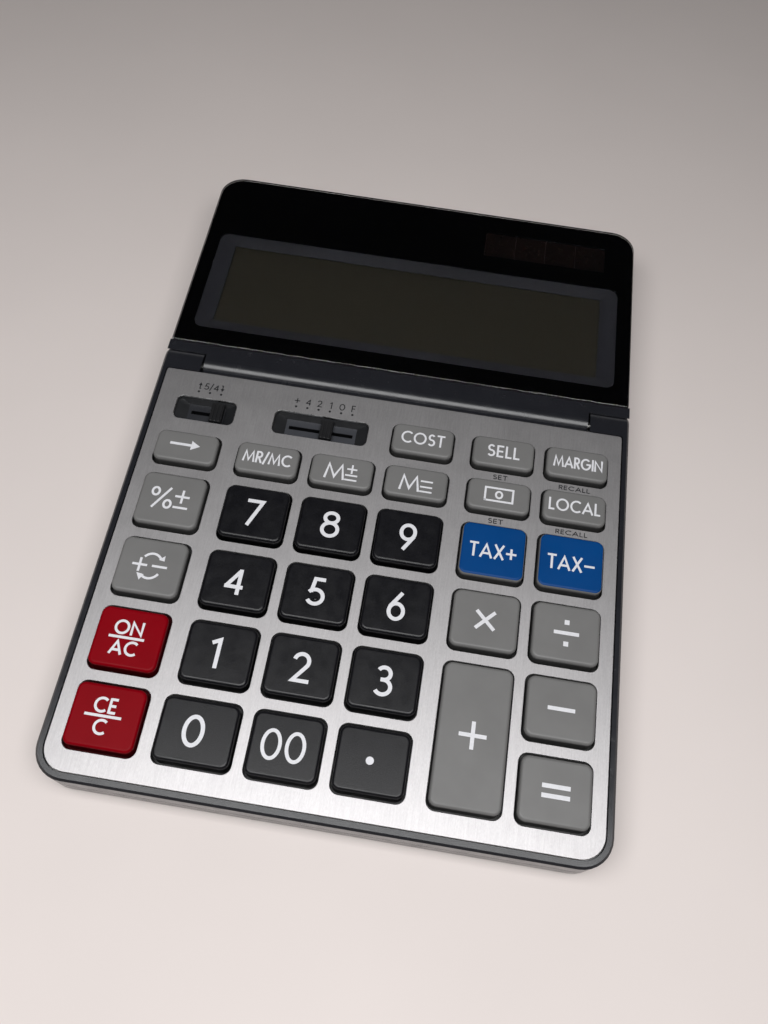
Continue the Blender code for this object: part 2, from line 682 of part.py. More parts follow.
# Keyboard
def make_key(deck, name, column, row, rows, material):
    """One key: a hollow cap with a flange under the deck and a stem on its dome."""
    left, right, front, rear = key_hole(name, column, row, rows)
    half_width = (right - left) / 2 - KEY_CLEARANCE
    half_depth = (rear - front) / 2 - KEY_CLEARANCE
    radius = KEY_HOLE_RADIUS - KEY_CLEARANCE

    def section(grow_x, grow_y, corner):
        return rounded_outline(-half_width - grow_x, half_width + grow_x, -half_depth - grow_y,
                               half_depth + grow_y, corner, corner, CORNER_STEPS)

    stem = rounded_outline(-KEY_STEM_RADIUS, KEY_STEM_RADIUS, -KEY_STEM_RADIUS, KEY_STEM_RADIUS,
                           KEY_STEM_RADIUS, KEY_STEM_RADIUS, CORNER_STEPS)
    hollow = section(-KEY_WALL, -KEY_WALL, radius - KEY_WALL)
    flange = section(KEY_FLANGE_REACH, KEY_FLANGE_REACH, radius)
    body = section(0, 0, radius)
    shoulder = section(-KEY_SIDE_SLOPE + KEY_EDGE, -KEY_END_SLOPE + KEY_EDGE, radius)
    face = section(-KEY_SIDE_SLOPE, -KEY_END_SLOPE, radius - KEY_EDGE)
    ceiling = KEY_HEIGHT - KEY_ROOF
    stem_end = MAT_TOP + DOME_HEIGHT - STEM_ENTRY
    mesh = bmesh.new()
    add_loft(mesh, [
        (stem, stem_end), (stem, ceiling), (hollow, ceiling), (hollow, FLANGE_UNDER),
        (flange, FLANGE_UNDER), (flange, FLANGE_TOP), (body, FLANGE_TOP),
        (shoulder, KEY_HEIGHT - KEY_EDGE), (face, KEY_HEIGHT)])
    key = add_object(name, mesh, deck, material)
    key.location = ((left + right) / 2, (front + rear) / 2, 0)
    if name == "key_5":
        pip = bmesh.new()
        base = circle(0, -TOUCH_PIP_SETBACK, TOUCH_PIP_RADIUS, DOME_SIDES)
        crown = circle(0, -TOUCH_PIP_SETBACK, TOUCH_PIP_RADIUS / 2, DOME_SIDES)
        add_loft(pip, [(base, KEY_HEIGHT - TOUCH_PIP_HEIGHT), (base, KEY_HEIGHT),
                       (crown, KEY_HEIGHT + TOUCH_PIP_HEIGHT)])
        combine(key, pip, 'UNION')
        key.modifiers[-1].object.location = key.location


def dome_places():
    """The middle of each key."""
    places = []
    for name, column, row, rows in KEYS:
        left, right, front, rear = key_hole(name, column, row, rows)
        places.append(((left + right) / 2, (front + rear) / 2))
    return places


def make_key_mat(deck, material):
    """The rubber mat, with a domed collar under each key."""
    side = HALF_BODY - WALL - BOARD_EDGE_GAP
    outline = rectangle(-side, side, MAT_FRONT, TRAY_FRONT - WALL)
    feet = [circle(x, y, DOME_FOOT_RADIUS, DOME_SIDES) for x, y in dome_places()]
    bores = [circle(x, y, DOME_BORE_RADIUS, DOME_SIDES) for x, y in dome_places()]
    crowns = [circle(x, y, DOME_CROWN_RADIUS, DOME_SIDES) for x, y in dome_places()]
    holes = []
    for middle, floor, positions in switch_places().values():
        half = floor / 2
        holes.append(rectangle(middle - half, middle + half,
                               SWITCH_Y - KNOB_LEG_DEPTH, SWITCH_Y + KNOB_LEG_DEPTH))
    mesh = bmesh.new()
    add_mat_face(mesh, outline, holes + feet, MAT_TOP, False)
    add_mat_face(mesh, outline, holes + bores, MAT_UNDER, True)
    for loop in [outline] + holes:
        add_wall(mesh, (loop, MAT_UNDER), (loop, MAT_TOP))
    for foot, crown, bore in zip(feet, crowns, bores):
        dome_top = MAT_TOP + DOME_HEIGHT
        add_wall(mesh, (foot, MAT_TOP), (crown, dome_top))
        add_wall(mesh, (crown, dome_top), (bore, dome_top))
        add_wall(mesh, (bore, dome_top), (bore, MAT_UNDER))
    bmesh.ops.remove_doubles(mesh, verts=mesh.verts, dist=FIT_GAP / 100)
    add_object("key_mat", mesh, deck, material)


def add_mat_face(mesh, outline, holes, level, facing_down):
    """A flat face with holes in it."""
    loops = [outline] + holes
    corners = [mesh.verts.new((x, y, level)) for loop in loops for x, y in loop]
    for triangle in tessellate_polygon([[Vector((x, y, 0)) for x, y in loop] for loop in loops]):
        order = reversed(triangle) if facing_down else triangle
        mesh.faces.new([corners[index] for index in order])


def add_wall(mesh, lower, upper):
    """A band of faces between two outlines, each with its level."""
    first = [mesh.verts.new(point) for point in at_level(*lower)]
    second = [mesh.verts.new(point) for point in at_level(*upper)]
    for index in range(len(first)):
        following = (index + 1) % len(first)
        mesh.faces.new((first[index], first[following], second[following], second[index]))


def make_main_board(deck, material):
    """The circuit board under the mat, with its chip and the leaves that touch the cell."""
    outline = body_outline(-RIM_WIDTH, TRAY_FRONT, WALL + BOARD_EDGE_GAP, BODY_CORNER_RADIUS,
                           2 * WALL + BOARD_EDGE_GAP)
    holes = [circle(x, y, SCREW_RADIUS + FIT_GAP) for x, y in front_screws()]
    mesh = bmesh.new()
    add_pierced_plate(mesh, outline, holes, BOARD_UNDER, BOARD_TOP)
    board = add_object("main_board", mesh, deck, material)
    soldered = bmesh.new()
    inside = BOARD_UNDER + BOARD_THICKNESS / 2
    add_box(soldered, -CHIP_SIZE / 2, CHIP_SIZE / 2, CELL_Y - CHIP_SIZE / 2,
            CELL_Y + CHIP_SIZE / 2, BOARD_UNDER - CHIP_THICKNESS, inside)
    for x in (CELL_SIDE_OFFSET, CELL_SIDE_OFFSET - CONTACT_SPACING):
        add_box(soldered, x - CONTACT_LEAF / 2, x + CONTACT_LEAF / 2,
                CELL_Y - CONTACT_WIDTH / 2, CELL_Y + CONTACT_WIDTH / 2,
                base_plane(CELL_TOP_LIFT + FIT_GAP), inside)
    combine(board, soldered, 'UNION')


# Slide switches
def make_switch(deck, name, middle, floor, rest_position, positions, material):
    """A recessed switch frame and the knob that slides in it."""
    frame_top = RECESS_FLOOR
    frame_under = MAT_TOP + FIT_GAP
    recess_floor = frame_top - SWITCH_RECESS
    window = switch_window(middle, floor)
    half_depth = SWITCH_WINDOW_DEPTH / 2 - SWITCH_SIDE_RAMP
    mesh = bmesh.new()
    add_box(mesh, *switch_window(middle, floor, SWITCH_WALL), frame_under, frame_top)
    frame = add_object(f"{name}_switch_frame", mesh, deck, material)
    recess = bmesh.new()
    floor_outline = rectangle(middle - floor / 2, middle + floor / 2,
                              SWITCH_Y - half_depth, SWITCH_Y + half_depth)
    window_outline = rectangle(*window)
    add_loft(recess, [(floor_outline, recess_floor), (window_outline, frame_top),
                      (window_outline, frame_top + CUT_OVERRUN)])
    combine(frame, recess, 'DIFFERENCE')
    slot = bmesh.new()
    travel = (positions - 1) * SWITCH_STEP
    slot_half = travel / 2 + KNOB_LEG_WIDTH / 2 + FIT_GAP
    add_box(slot, middle - slot_half, middle + slot_half,
            SWITCH_Y - KNOB_LEG_DEPTH / 2 - FIT_GAP, SWITCH_Y + KNOB_LEG_DEPTH / 2 + FIT_GAP,
            frame_under - CUT_OVERRUN, frame_top)
    combine(frame, slot, 'DIFFERENCE')

    leg = rectangle(-KNOB_LEG_WIDTH / 2, KNOB_LEG_WIDTH / 2, -KNOB_LEG_DEPTH / 2,
                    KNOB_LEG_DEPTH / 2)
    foot_depth = half_depth - FIT_GAP
    foot = rectangle(-KNOB_WIDTH / 2, KNOB_WIDTH / 2, -foot_depth, foot_depth)
    crown_depth = SWITCH_WINDOW_DEPTH / 2 - FIT_GAP
    neck_level = frame_top - FIT_GAP
    neck_share = (neck_level - FIT_GAP - recess_floor) / SWITCH_RECESS
    neck_depth = foot_depth + (crown_depth - foot_depth) * neck_share
    neck = rectangle(-KNOB_WIDTH / 2, KNOB_WIDTH / 2, -neck_depth, neck_depth)
    ridge = rectangle(-KNOB_WIDTH / 4, KNOB_WIDTH / 4, -neck_depth, neck_depth)
    knob = bmesh.new()
    add_loft(knob, [(leg, BOARD_TOP + FIT_GAP), (leg, recess_floor + FIT_GAP),
                    (foot, recess_floor + FIT_GAP), (neck, neck_level),
                    (neck, -KNOB_SINK - KNOB_SIDE_GAP), (ridge, -KNOB_SINK)])
    piece = add_object(f"{name}_switch_knob", knob, deck, material)
    piece.location = (middle - travel / 2 + rest_position * SWITCH_STEP, SWITCH_Y, 0)


# Display
def display_outline(front, inset=0.0):
    """Outline of the display from a place in front of it to its far edge."""
    return rounded_outline(
        -HALF_DISPLAY + inset, HALF_DISPLAY - inset, front + inset, DISPLAY_END - inset,
        DISPLAY_SEAM_RADIUS, DISPLAY_CORNER_RADIUS - inset, BODY_CORNER_STEPS)


def solar_cell_edges(grow=0.0):
    """Left, right, front and rear edge of the solar cell."""
    right = HALF_DISPLAY - SOLAR_CELL_SIDE_INSET
    rear = DISPLAY_END - SOLAR_CELL_TOP_INSET
    return (right - SOLAR_CELL_WIDTH - grow, right + grow,
            rear - SOLAR_CELL_DEPTH - grow, rear + grow)


def lcd_outline(width, depth, radius, grow=0.0):
    """A rounded outline round the middle of the liquid crystal display."""
    return rounded_outline(
        -width / 2 - grow, width / 2 + grow, LCD_MIDDLE_Y - depth / 2 - grow,
        LCD_MIDDLE_Y + depth / 2 + grow, radius, radius, CORNER_STEPS)


def make_display_housing(display, material):
    """The front housing: hinge barrel, grey strip and the shell behind the window."""
    mesh = bmesh.new()
    outline = display_outline(0)
    add_loft(mesh, [(outline, DISPLAY_SPLIT), (outline, DISPLAY_SHELF)])
    housing = add_object("display_housing", mesh, display, material)

    strip = bmesh.new()
    add_box(strip, -HALF_BODY, HALF_BODY, 0, DISPLAY_SEAM_DISTANCE - FIT_GAP,
            DISPLAY_SPLIT, BARREL_RADIUS)
    combine(housing, strip, 'UNION')

    sweep = bmesh.new()
    steps = BARREL_SIDES // 4
    radius = HINGE_CLEARANCE_RADIUS
    arc = [(radius * cos(step * pi / 2 / steps), radius * sin(step * pi / 2 / steps))
           for step in range(steps + 1)]
    low = DISPLAY_SPLIT - CUT_OVERRUN
    profile = [(-CUT_OVERRUN, low), (radius, low)] + arc + [(-CUT_OVERRUN, radius)]
    reach = HALF_BODY + CUT_OVERRUN
    add_rings(sweep, [[(x, y, z) for y, z in profile] for x in (-reach, reach)])
    combine(housing, sweep, 'DIFFERENCE')

    hollow = bmesh.new()
    inner = rounded_outline(
        -HALF_DISPLAY + WALL, HALF_DISPLAY - WALL, radius + WALL, DISPLAY_END - WALL,
        DISPLAY_SEAM_RADIUS, DISPLAY_CORNER_RADIUS - WALL, BODY_CORNER_STEPS)
    add_loft(hollow, [(inner, low), (inner, DISPLAY_SHELF - DISPLAY_SKIN)])
    combine(housing, hollow, 'DIFFERENCE')

    barrel = bmesh.new()
    add_bar(barrel, BARREL_RADIUS, -BARREL_END_X, BARREL_END_X)
    combine(housing, barrel, 'UNION')
    web = bmesh.new()
    add_box(web, -BARREL_END_X, BARREL_END_X, 0, radius + WALL / 2,
            -BARREL_WEB_DEPTH, BARREL_RADIUS)
    combine(housing, web, 'UNION')

    cuts = bmesh.new()
    frame_hole = lcd_outline(LCD_FRAME_WIDTH, LCD_FRAME_DEPTH, LCD_FRAME_RADIUS + FIT_GAP, FIT_GAP)
    add_loft(cuts, [(frame_hole, low), (frame_hole, DISPLAY_SHELF + CUT_OVERRUN)])
    add_box(cuts, *solar_cell_edges(FIT_GAP), low, DISPLAY_SHELF + CUT_OVERRUN)
    combine(housing, cuts, 'DIFFERENCE')

    bores = bmesh.new()
    for side in (-1, 1):
        edges = sorted((side * (BARREL_END_X - PIN_BARREL_LENGTH - FIT_GAP),
                        side * (BARREL_END_X + CUT_OVERRUN)))
        add_bar(bores, PIN_RADIUS + FIT_GAP, *edges, ROUND_SIDES)
    combine(housing, bores, 'DIFFERENCE')


def make_display_back(display, material):
    """The rear cover of the display."""
    mesh = bmesh.new()
    front = HINGE_CLEARANCE_RADIUS
    full = display_outline(front)
    drawn_in = display_outline(front, DISPLAY_BACK_CHAMFER)
    add_loft(mesh, [(drawn_in, DISPLAY_UNDER), (full, DISPLAY_UNDER + DISPLAY_BACK_CHAMFER),
                    (full, DISPLAY_BACK_TOP)])
    add_object("display_back", mesh, display, material)


def make_display_window(display, material):
    """The glossy pane over the whole display."""
    outline = display_outline(DISPLAY_SEAM_DISTANCE)
    mesh = bmesh.new()
    add_loft(mesh, [(outline, WINDOW_UNDER), (outline, BARREL_RADIUS)])
    add_object("display_window", mesh, display, material)


def make_lcd(display, frame_material, glass_material, board_material):
    """The chamfered frame, the glass and the board behind it."""
    frame = bmesh.new()
    outer = lcd_outline(LCD_FRAME_WIDTH, LCD_FRAME_DEPTH, LCD_FRAME_RADIUS)
    upper_lip = lcd_outline(LCD_FRAME_WIDTH, LCD_FRAME_DEPTH, LCD_FRAME_RADIUS, -FIT_GAP)
    view = lcd_outline(LCD_VIEW_WIDTH, LCD_VIEW_DEPTH, LCD_VIEW_RADIUS)
    add_rings(frame, [at_level(outer, LCD_FRAME_UNDER), at_level(outer, DISPLAY_SHELF),
                      at_level(upper_lip, DISPLAY_SHELF),
                      at_level(view, LCD_FRAME_UNDER + FIT_GAP),
                      at_level(view, LCD_FRAME_UNDER)], closed=True)
    add_object("lcd_frame", frame, display, frame_material)

    half_width = LCD_VIEW_WIDTH / 2 + LCD_GLASS_BORDER
    half_depth = LCD_VIEW_DEPTH / 2 + LCD_GLASS_BORDER
    front = LCD_MIDDLE_Y - half_depth
    rear = LCD_MIDDLE_Y + half_depth
    glass = bmesh.new()
    add_box(glass, -half_width, half_width, front, rear, GLASS_UNDER, GLASS_TOP)
    add_object("lcd_glass", glass, display, glass_material)

    board = bmesh.new()
    add_box(board, -half_width, half_width, front, rear, LCD_BOARD_UNDER, LCD_BOARD_TOP)
    add_object("lcd_board", board, display, board_material)


def make_solar_cell(display, material):
    """The solar cell behind the window."""
    mesh = bmesh.new()
    add_box(mesh, *solar_cell_edges(), DISPLAY_SHELF - SOLAR_CELL_THICKNESS, DISPLAY_SHELF)
    add_object("solar_cell", mesh, display, material)


def make_hinge_pins(deck, material):
    """The pins that join the ears and the barrel."""
    ring = circle(HINGE_Y, HINGE_Z, PIN_RADIUS)
    for name, side in (("left", -1), ("right", 1)):
        edges = sorted((side * (BARREL_END_X - PIN_BARREL_LENGTH),
                        side * (EAR_INNER_X + PIN_EAR_LENGTH)))
        mesh = bmesh.new()
        add_rings(mesh, [[(x, y, z) for y, z in ring] for x in edges])
        round_off(add_object(f"hinge_pin_{name}", mesh, deck, material))


def clear_scene():
    """Remove whatever the scene holds."""
    for thing in list(bpy.data.objects):
        bpy.data.objects.remove(thing, do_unlink=True)


def make_frames():
    """The tilted frame of the deck, and the frame of the display on its hinge axis."""
    front_edge = -RIM_WIDTH * cos(WEDGE_ANGLE)
    rear_thickness = BODY_FRONT_THICKNESS + BODY_REAR * tan(WEDGE_ANGLE)
    rear_edge = BODY_REAR * cos(WEDGE_ANGLE) + rear_thickness * sin(WEDGE_ANGLE)
    deck = bpy.data.objects.new("deck_frame", None)
    deck.rotation_euler = (WEDGE_ANGLE, 0, 0)
    height = (BODY_FRONT_THICKNESS + FOOT_PROUD) * cos(WEDGE_ANGLE)
    deck.location = (0, -(front_edge + rear_edge) / 2, height)
    display = bpy.data.objects.new("display_frame", None)
    display.parent = deck
    display.location = (0, HINGE_Y, HINGE_Z)
    display.rotation_euler = (-DISPLAY_REST_TILT, 0, 0)
    for frame in (deck, display):
        bpy.context.scene.collection.objects.link(frame)
    return deck, display


def build():
    """Make every piece of the calculator."""
    clear_scene()
    deck, display = make_frames()
    charcoal = finish("charcoal_plastic", (0.030, 0.033, 0.042), 0.45)
    grey_key = finish("grey_key_plastic", (0.175, 0.178, 0.180), 0.50)
    black_key = finish("black_key_plastic", (0.014, 0.015, 0.018), 0.48)
    red_key = finish("red_key_plastic", (0.250, 0.003, 0.008), 0.45)
    blue_key = finish("blue_key_plastic", (0.002, 0.055, 0.230), 0.45)
    aluminium = finish("brushed_aluminium", (0.450, 0.440, 0.450), 0.35, 1.0)
    gloss = finish("gloss_black_window", (0.004, 0.004, 0.005), 0.06)
    lcd_glass = finish("lcd_glass", (0.016, 0.017, 0.011), 0.20)
    lcd_frame = finish("lcd_frame_plastic", (0.020, 0.022, 0.029), 0.50)
    solar = finish("solar_cell_film", (0.010, 0.005, 0.004), 0.25)
    rubber = finish("black_rubber", (0.018, 0.018, 0.018), 0.85)
    mat_rubber = finish("mat_rubber", (0.300, 0.300, 0.290), 0.70)
    board = finish("circuit_board", (0.030, 0.130, 0.050), 0.55)
    steel = finish("zinc_steel", (0.500, 0.500, 0.490), 0.35, 1.0)
    knob = finish("switch_plastic", (0.008, 0.008, 0.009), 0.50)

    make_faceplate(deck, aluminium)
    make_upper_case(deck, charcoal)
    make_lower_case(deck, charcoal)
    make_screws(deck, steel)
    make_feet(deck, rubber)
    make_battery(deck, steel, charcoal)
    make_key_mat(deck, mat_rubber)
    make_main_board(deck, board)
    for name, column, row, rows in KEYS:
        colour = grey_key
        if name in RED_KEYS:
            colour = red_key
        if name in BLUE_KEYS:
            colour = blue_key
        if name in NUMBER_KEYS:
            colour = black_key
        make_key(deck, name, column, row, rows, colour)
    rest_positions = {"rounding": ROUNDING_REST_POSITION, "decimal": DECIMAL_REST_POSITION}
    for name, (middle, floor, positions) in switch_places().items():
        make_switch(deck, name, middle, floor, rest_positions[name], positions, knob)
    make_hinge_pins(deck, steel)
    make_display_housing(display, charcoal)
    make_display_back(display, charcoal)
    make_display_window(display, gloss)
    make_lcd(display, lcd_frame, lcd_glass, board)
    make_solar_cell(display, solar)
    bpy.context.view_layer.update()


build()
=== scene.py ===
"""Looks of a desktop calculator with a tilting display.

Lengths are in metres and angles in radians, unless a comment says otherwise. Pieces of the
keyboard are drawn in the deck's own space: X to the right, Y up the keyboard from the front
edge of the faceplate, Z square to the faceplate, whose top face is at zero. Pieces of the
display are drawn in a space that lies on the hinge axis, with Y towards the far edge of the
display.
"""

from math import atan2, cos, pi, radians, sin
import json

import bmesh
import bpy
from bpy.props import FloatProperty, FloatVectorProperty, PointerProperty
from mathutils import Matrix, Vector
from mathutils.geometry import tessellate_polygon

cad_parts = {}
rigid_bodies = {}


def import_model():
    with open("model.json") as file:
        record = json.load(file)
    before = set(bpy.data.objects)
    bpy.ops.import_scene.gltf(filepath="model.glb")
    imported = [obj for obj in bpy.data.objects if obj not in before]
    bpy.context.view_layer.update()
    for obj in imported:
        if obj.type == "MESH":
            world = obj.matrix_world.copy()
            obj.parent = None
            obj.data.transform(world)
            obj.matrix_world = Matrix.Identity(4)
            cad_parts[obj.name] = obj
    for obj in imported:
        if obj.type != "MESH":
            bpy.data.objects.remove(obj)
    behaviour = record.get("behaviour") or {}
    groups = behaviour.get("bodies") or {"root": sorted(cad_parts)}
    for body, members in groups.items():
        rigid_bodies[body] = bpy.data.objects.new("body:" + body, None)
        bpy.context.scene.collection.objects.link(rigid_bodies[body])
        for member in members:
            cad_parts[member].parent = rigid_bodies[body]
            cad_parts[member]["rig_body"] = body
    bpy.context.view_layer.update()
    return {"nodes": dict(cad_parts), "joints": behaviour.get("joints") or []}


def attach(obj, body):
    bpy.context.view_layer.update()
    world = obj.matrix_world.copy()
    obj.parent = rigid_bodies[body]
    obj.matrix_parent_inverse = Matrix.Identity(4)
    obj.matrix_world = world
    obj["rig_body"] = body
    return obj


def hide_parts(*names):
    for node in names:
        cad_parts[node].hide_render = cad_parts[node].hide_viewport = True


bl_info = {
    "name": "Desk calculator finish",
    "version": (1, 0, 0),
    "blender": (4, 5, 0),
    "location": "3D View > Sidebar > Calculator",
    "description": "Makes the fine pieces and finishes of a desk calculator and a studio round it",
    "category": "Object",
}

for leftover in list(bpy.data.objects):
    bpy.data.objects.remove(leftover)
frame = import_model()
NODES = frame["nodes"]

# Fineness of round shapes
CORNER_STEPS = 8
EDGE_STEPS = 6
RING_STEPS = 28
BOWL_SIDES = 96
BOWL_STEPS = 12

# What counts as one level, one corner, one flat face, a soft edge and a face that looks up
LEVEL_TOLERANCE = 0.00002
WELD_DISTANCE = 0.000002
FLAT_ANGLE = radians(0.6)
SOFT_ANGLE = radians(32)
UP_SHARE = 0.9

# Faces with more corners than this are flat caps, and are shaded flat
BAND_CORNERS = 4

# Fixed sizes of the fine shapes
KEY_WALL = 0.0013
SWITCH_WALL = 0.0008
SWITCH_STEP = 0.0034
SLIT = 0.0012
PAD_INSET = 0.0012
KNOB_EDGE = 0.0002
KNOB_RIDGE = 0.00042
RIDGE_PITCH_SHARE = 0.3
PANE_CORNER = 0.0075
PANE_SEAM_CORNER = 0.0004
PANE_POLISH = 0.00018
LCD_HOLE_CORNER = 0.0028
CELL_HOLE_CORNER = 0.0004
CELL_STRIPS = 4
CELL_GAP = 0.0003
CROSS_DEPTH = 0.0008
CROSS_ARM_SHARE = 0.32
CROSS_HALF_SHARE = 0.07
CROSS_CORNER_SHARE = 0.3

# Keys of each colour
RED_KEYS = ("key_clear", "key_on")
BLUE_KEYS = ("key_tax_add", "key_tax_take")
NUMBER_KEYS = ("key_0", "key_00", "key_point", "key_1", "key_2", "key_3", "key_4",
               "key_5", "key_6", "key_7", "key_8", "key_9")
KEY_NODES = sorted(name for name in NODES if name.startswith("key_") and name != "key_mat")
SWITCHES = ("rounding", "decimal")


# Spaces and edges read from the frame
class Span:
    """Edges of a shape: left, right, front, rear, low and high."""

    def __init__(self, points):
        self.left = min(point.x for point in points)
        self.right = max(point.x for point in points)
        self.front = min(point.y for point in points)
        self.rear = max(point.y for point in points)
        self.low = min(point.z for point in points)
        self.high = max(point.z for point in points)
        self.x = (self.left + self.right) / 2
        self.y = (self.front + self.rear) / 2
        self.width = self.right - self.left
        self.depth = self.rear - self.front


def flat_span(left, right, front, rear):
    """Edges of a flat rectangle."""
    return Span([Vector((left, front, 0)), Vector((right, rear, 0))])


def tilt_of(node):
    """Angle about X of the largest face of a node that looks up."""
    faces = [face for face in NODES[node].data.polygons if face.normal.z > UP_SHARE]
    largest = max(faces, key=lambda face: face.area)
    return atan2(-largest.normal.y, largest.normal.z)


def points_of(node, space):
    """Corners of a node in one of the two spaces."""
    inverse = space.inverted()
    return [inverse @ vertex.co for vertex in NODES[node].data.vertices]


def deck_space():
    """Space of the keyboard, on the front edge of the top face of the faceplate."""
    turn = Matrix.Rotation(tilt_of("faceplate"), 4, 'X')
    plate = Span(points_of("faceplate", turn))
    return turn @ Matrix.Translation((0, plate.front, plate.high))


def display_space():
    """Space of the display, on the hinge axis."""
    hinge = next(joint for joint in frame["joints"] if joint["name"] == "display_tilt")
    turn = Matrix.Rotation(tilt_of("display_window"), 4, 'X')
    return Matrix.Translation(hinge["pos_m"]) @ turn


DECK = deck_space()
DISPLAY = display_space()


def levels_of(points):
    """The levels that a node's corners lie on, lowest first."""
    levels = []
    for height in sorted(point.z for point in points):
        if not levels or height - levels[-1] > LEVEL_TOLERANCE:
            levels.append(height)
    return levels


def span_at(points, level):
    """Edges of the corners on one level."""
    return Span([point for point in points if abs(point.z - level) < LEVEL_TOLERANCE])


# Sizes and colours that a user would change
def length_property(label, description, default, lowest, highest):
    """A length that a user may change."""
    return FloatProperty(
        name=label, description=description, default=default, min=lowest, max=highest,
        unit='LENGTH')


def colour_property(label, description, default):
    """A colour that a user may change."""
    return FloatVectorProperty(
        name=label, description=description, subtype='COLOR', size=3,
        default=default, min=0, max=1)


class CalculatorSizes(bpy.types.PropertyGroup):
    """Sizes of the fine shapes."""

    key_edge: length_property(
        "Key edge", "Radius of the edge round the face of a key", 0.00080, 0.0001, 0.0012)
    key_brim: length_property(
        "Key brim", "How far the sides of a key stand outside its flat face", 0.00042, 0.0001, 0.0008)
    key_lean: length_property(
        "Key lean", "How far the sides of a key lean in from foot to edge", 0.00008, 0, 0.0004)
    key_side_slope: length_property(
        "Key side slope", "How far the CAD key's sides lean in", 0.00055, 0, 0.002)
    key_end_slope: length_property(
        "Key end slope", "How far the CAD key's front and rear lean in", 0.00095, 0, 0.002)
    key_corner: length_property(
        "Key corner", "Radius of the corners of a key, seen from above", 0.0021, 0.001, 0.003)
    hole_corner: length_property(
        "Hole corner", "Radius of the corners of a key's hole", 0.0024, 0.001, 0.003)
    window_corner: length_property(
        "Window corner", "Radius of the corners of a switch window", 0.0018, 0.001, 0.003)
    key_clearance: length_property(
        "Key clearance", "Gap between a key and its hole", 0.0003, 0.0001, 0.001)
    plate_corner: length_property(
        "Faceplate corner", "Radius of the front corners of the faceplate", 0.0063, 0.002, 0.01)
    plate_rear_corner: length_property(
        "Faceplate rear corner", "Radius of its rear corners", 0.0009, 0.0003, 0.003)
    plate_chamfer: length_property(
        "Faceplate chamfer", "Bright cut edge round the plate and its holes", 0.00014, 0.00005, 0.0003)
    ink: length_property(
        "Ink", "Thickness of a printed sign", 0.00002, 0.000005, 0.0001)
    case_edge: length_property(
        "Case edge", "Radius of the soft edges of the moulded shells", 0.00022, 0.00005, 0.0005)


class CalculatorColours(bpy.types.PropertyGroup):
    """Colours of the finishes."""

    charcoal: colour_property("Case", "Moulded case and display housing", (0.0135, 0.0140, 0.0175))
    aluminium: colour_property("Faceplate", "Brushed faceplate", (0.40, 0.389, 0.394))
    cut_edge: colour_property("Cut edge", "Edges of the faceplate and its holes", (0.8, 0.8, 0.8))
    grey_key: colour_property("Grey keys", "Function keys", (0.150, 0.148, 0.146))
    number_key: colour_property("Number keys", "Number keys", (0.0034, 0.0034, 0.0048))
    red_key: colour_property("Red keys", "Clear and on keys", (0.195, 0.0002, 0.004))
    blue_key: colour_property("Blue keys", "Face of the tax keys", (0.0004, 0.045, 0.180))
    legend: colour_property("Legends", "Signs on the keys", (0.66, 0.66, 0.69))
    plate_ink: colour_property("Plate print", "Signs on the faceplate", (0.012, 0.012, 0.014))
    pane_print: colour_property("Window print", "Black behind the window", (0.0015, 0.0015, 0.0018))
    lcd_frame: colour_property("Frame", "Frame of the liquid crystal", (0.018, 0.0185, 0.025))
    lcd_glass: colour_property("Liquid crystal", "Blank liquid crystal", (0.031, 0.0275, 0.019))
    solar_film: colour_property("Solar cell", "Film of the solar cell", (0.0075, 0.0030, 0.0022))
    floor: colour_property("Floor", "Table top and backdrop", (0.70, 0.635, 0.61))


def sizes():
    """The sizes set in the scene."""
    return bpy.context.scene.calculator_sizes


def colours():
    """The colours set in the scene."""
    return bpy.context.scene.calculator_colours


# Mesh tools
def rounded_outline(left, right, front, rear, front_radius, rear_radius, steps=CORNER_STEPS):
    """Points of a rounded rectangle, counter-clockwise from its front left corner."""
    corners = (
        (left + front_radius, front + front_radius, front_radius, 2),
        (right - front_radius, front + front_radius, front_radius, 3),
        (right - rear_radius, rear - rear_radius, rear_radius, 0),
        (left + rear_radius, rear - rear_radius, rear_radius, 1),
    )
    points = []
    for x, y, radius, quarter in corners:
        for step in range(steps + 1):
            turn = (quarter + step / steps) * pi / 2
            points.append((x + radius * cos(turn), y + radius * sin(turn)))
    return points


def grown(span, grow_x, grow_y, front_radius, rear_radius=None):
    """A rounded outline round a span, grown sideways and endways."""
    rear_radius = front_radius if rear_radius is None else rear_radius
    return rounded_outline(
        span.left - grow_x, span.right + grow_x, span.front - grow_y, span.rear + grow_y,
        front_radius, rear_radius)


def circle(x, y, radius, steps=RING_STEPS):
    """Points of a circle, counter-clockwise."""
    turns = [2 * pi * step / steps for step in range(steps)]
    return [(x + radius * cos(turn), y + radius * sin(turn)) for turn in turns]


def skin(mesh, loops):
    """Faces between neighbouring loops of corners that have the same count."""
    for first, second in zip(loops, loops[1:]):
        for index, corner in enumerate(first):
            following = (index + 1) % len(first)
            mesh.faces.new((corner, first[following], second[following], second[index]))


def add_rings(mesh, rings, closed=False):
    """Skin rings of points that have the same count, and cap both ends unless closed."""
    loops = [[mesh.verts.new(point) for point in ring] for ring in rings]
    if closed:
        skin(mesh, loops + loops[:1])
        return
    skin(mesh, loops)
    mesh.faces.new(list(reversed(loops[0])))
    mesh.faces.new(loops[-1])


def add_loft(mesh, sections):
    """Skin outlines, each with its level, from the lowest to the highest."""
    add_rings(mesh, [[(x, y, level) for x, y in outline] for outline, level in sections])


def add_face_with_holes(mesh, loops, level, facing_up=True):
    """A flat face inside the first outline and outside the others."""
    corners = [mesh.verts.new((x, y, level)) for loop in loops for x, y in loop]
    flat = [[Vector((x, y, 0)) for x, y in loop] for loop in loops]
    for triangle in tessellate_polygon(flat):
        order = triangle if facing_up else reversed(triangle)
        mesh.faces.new([corners[index] for index in order])


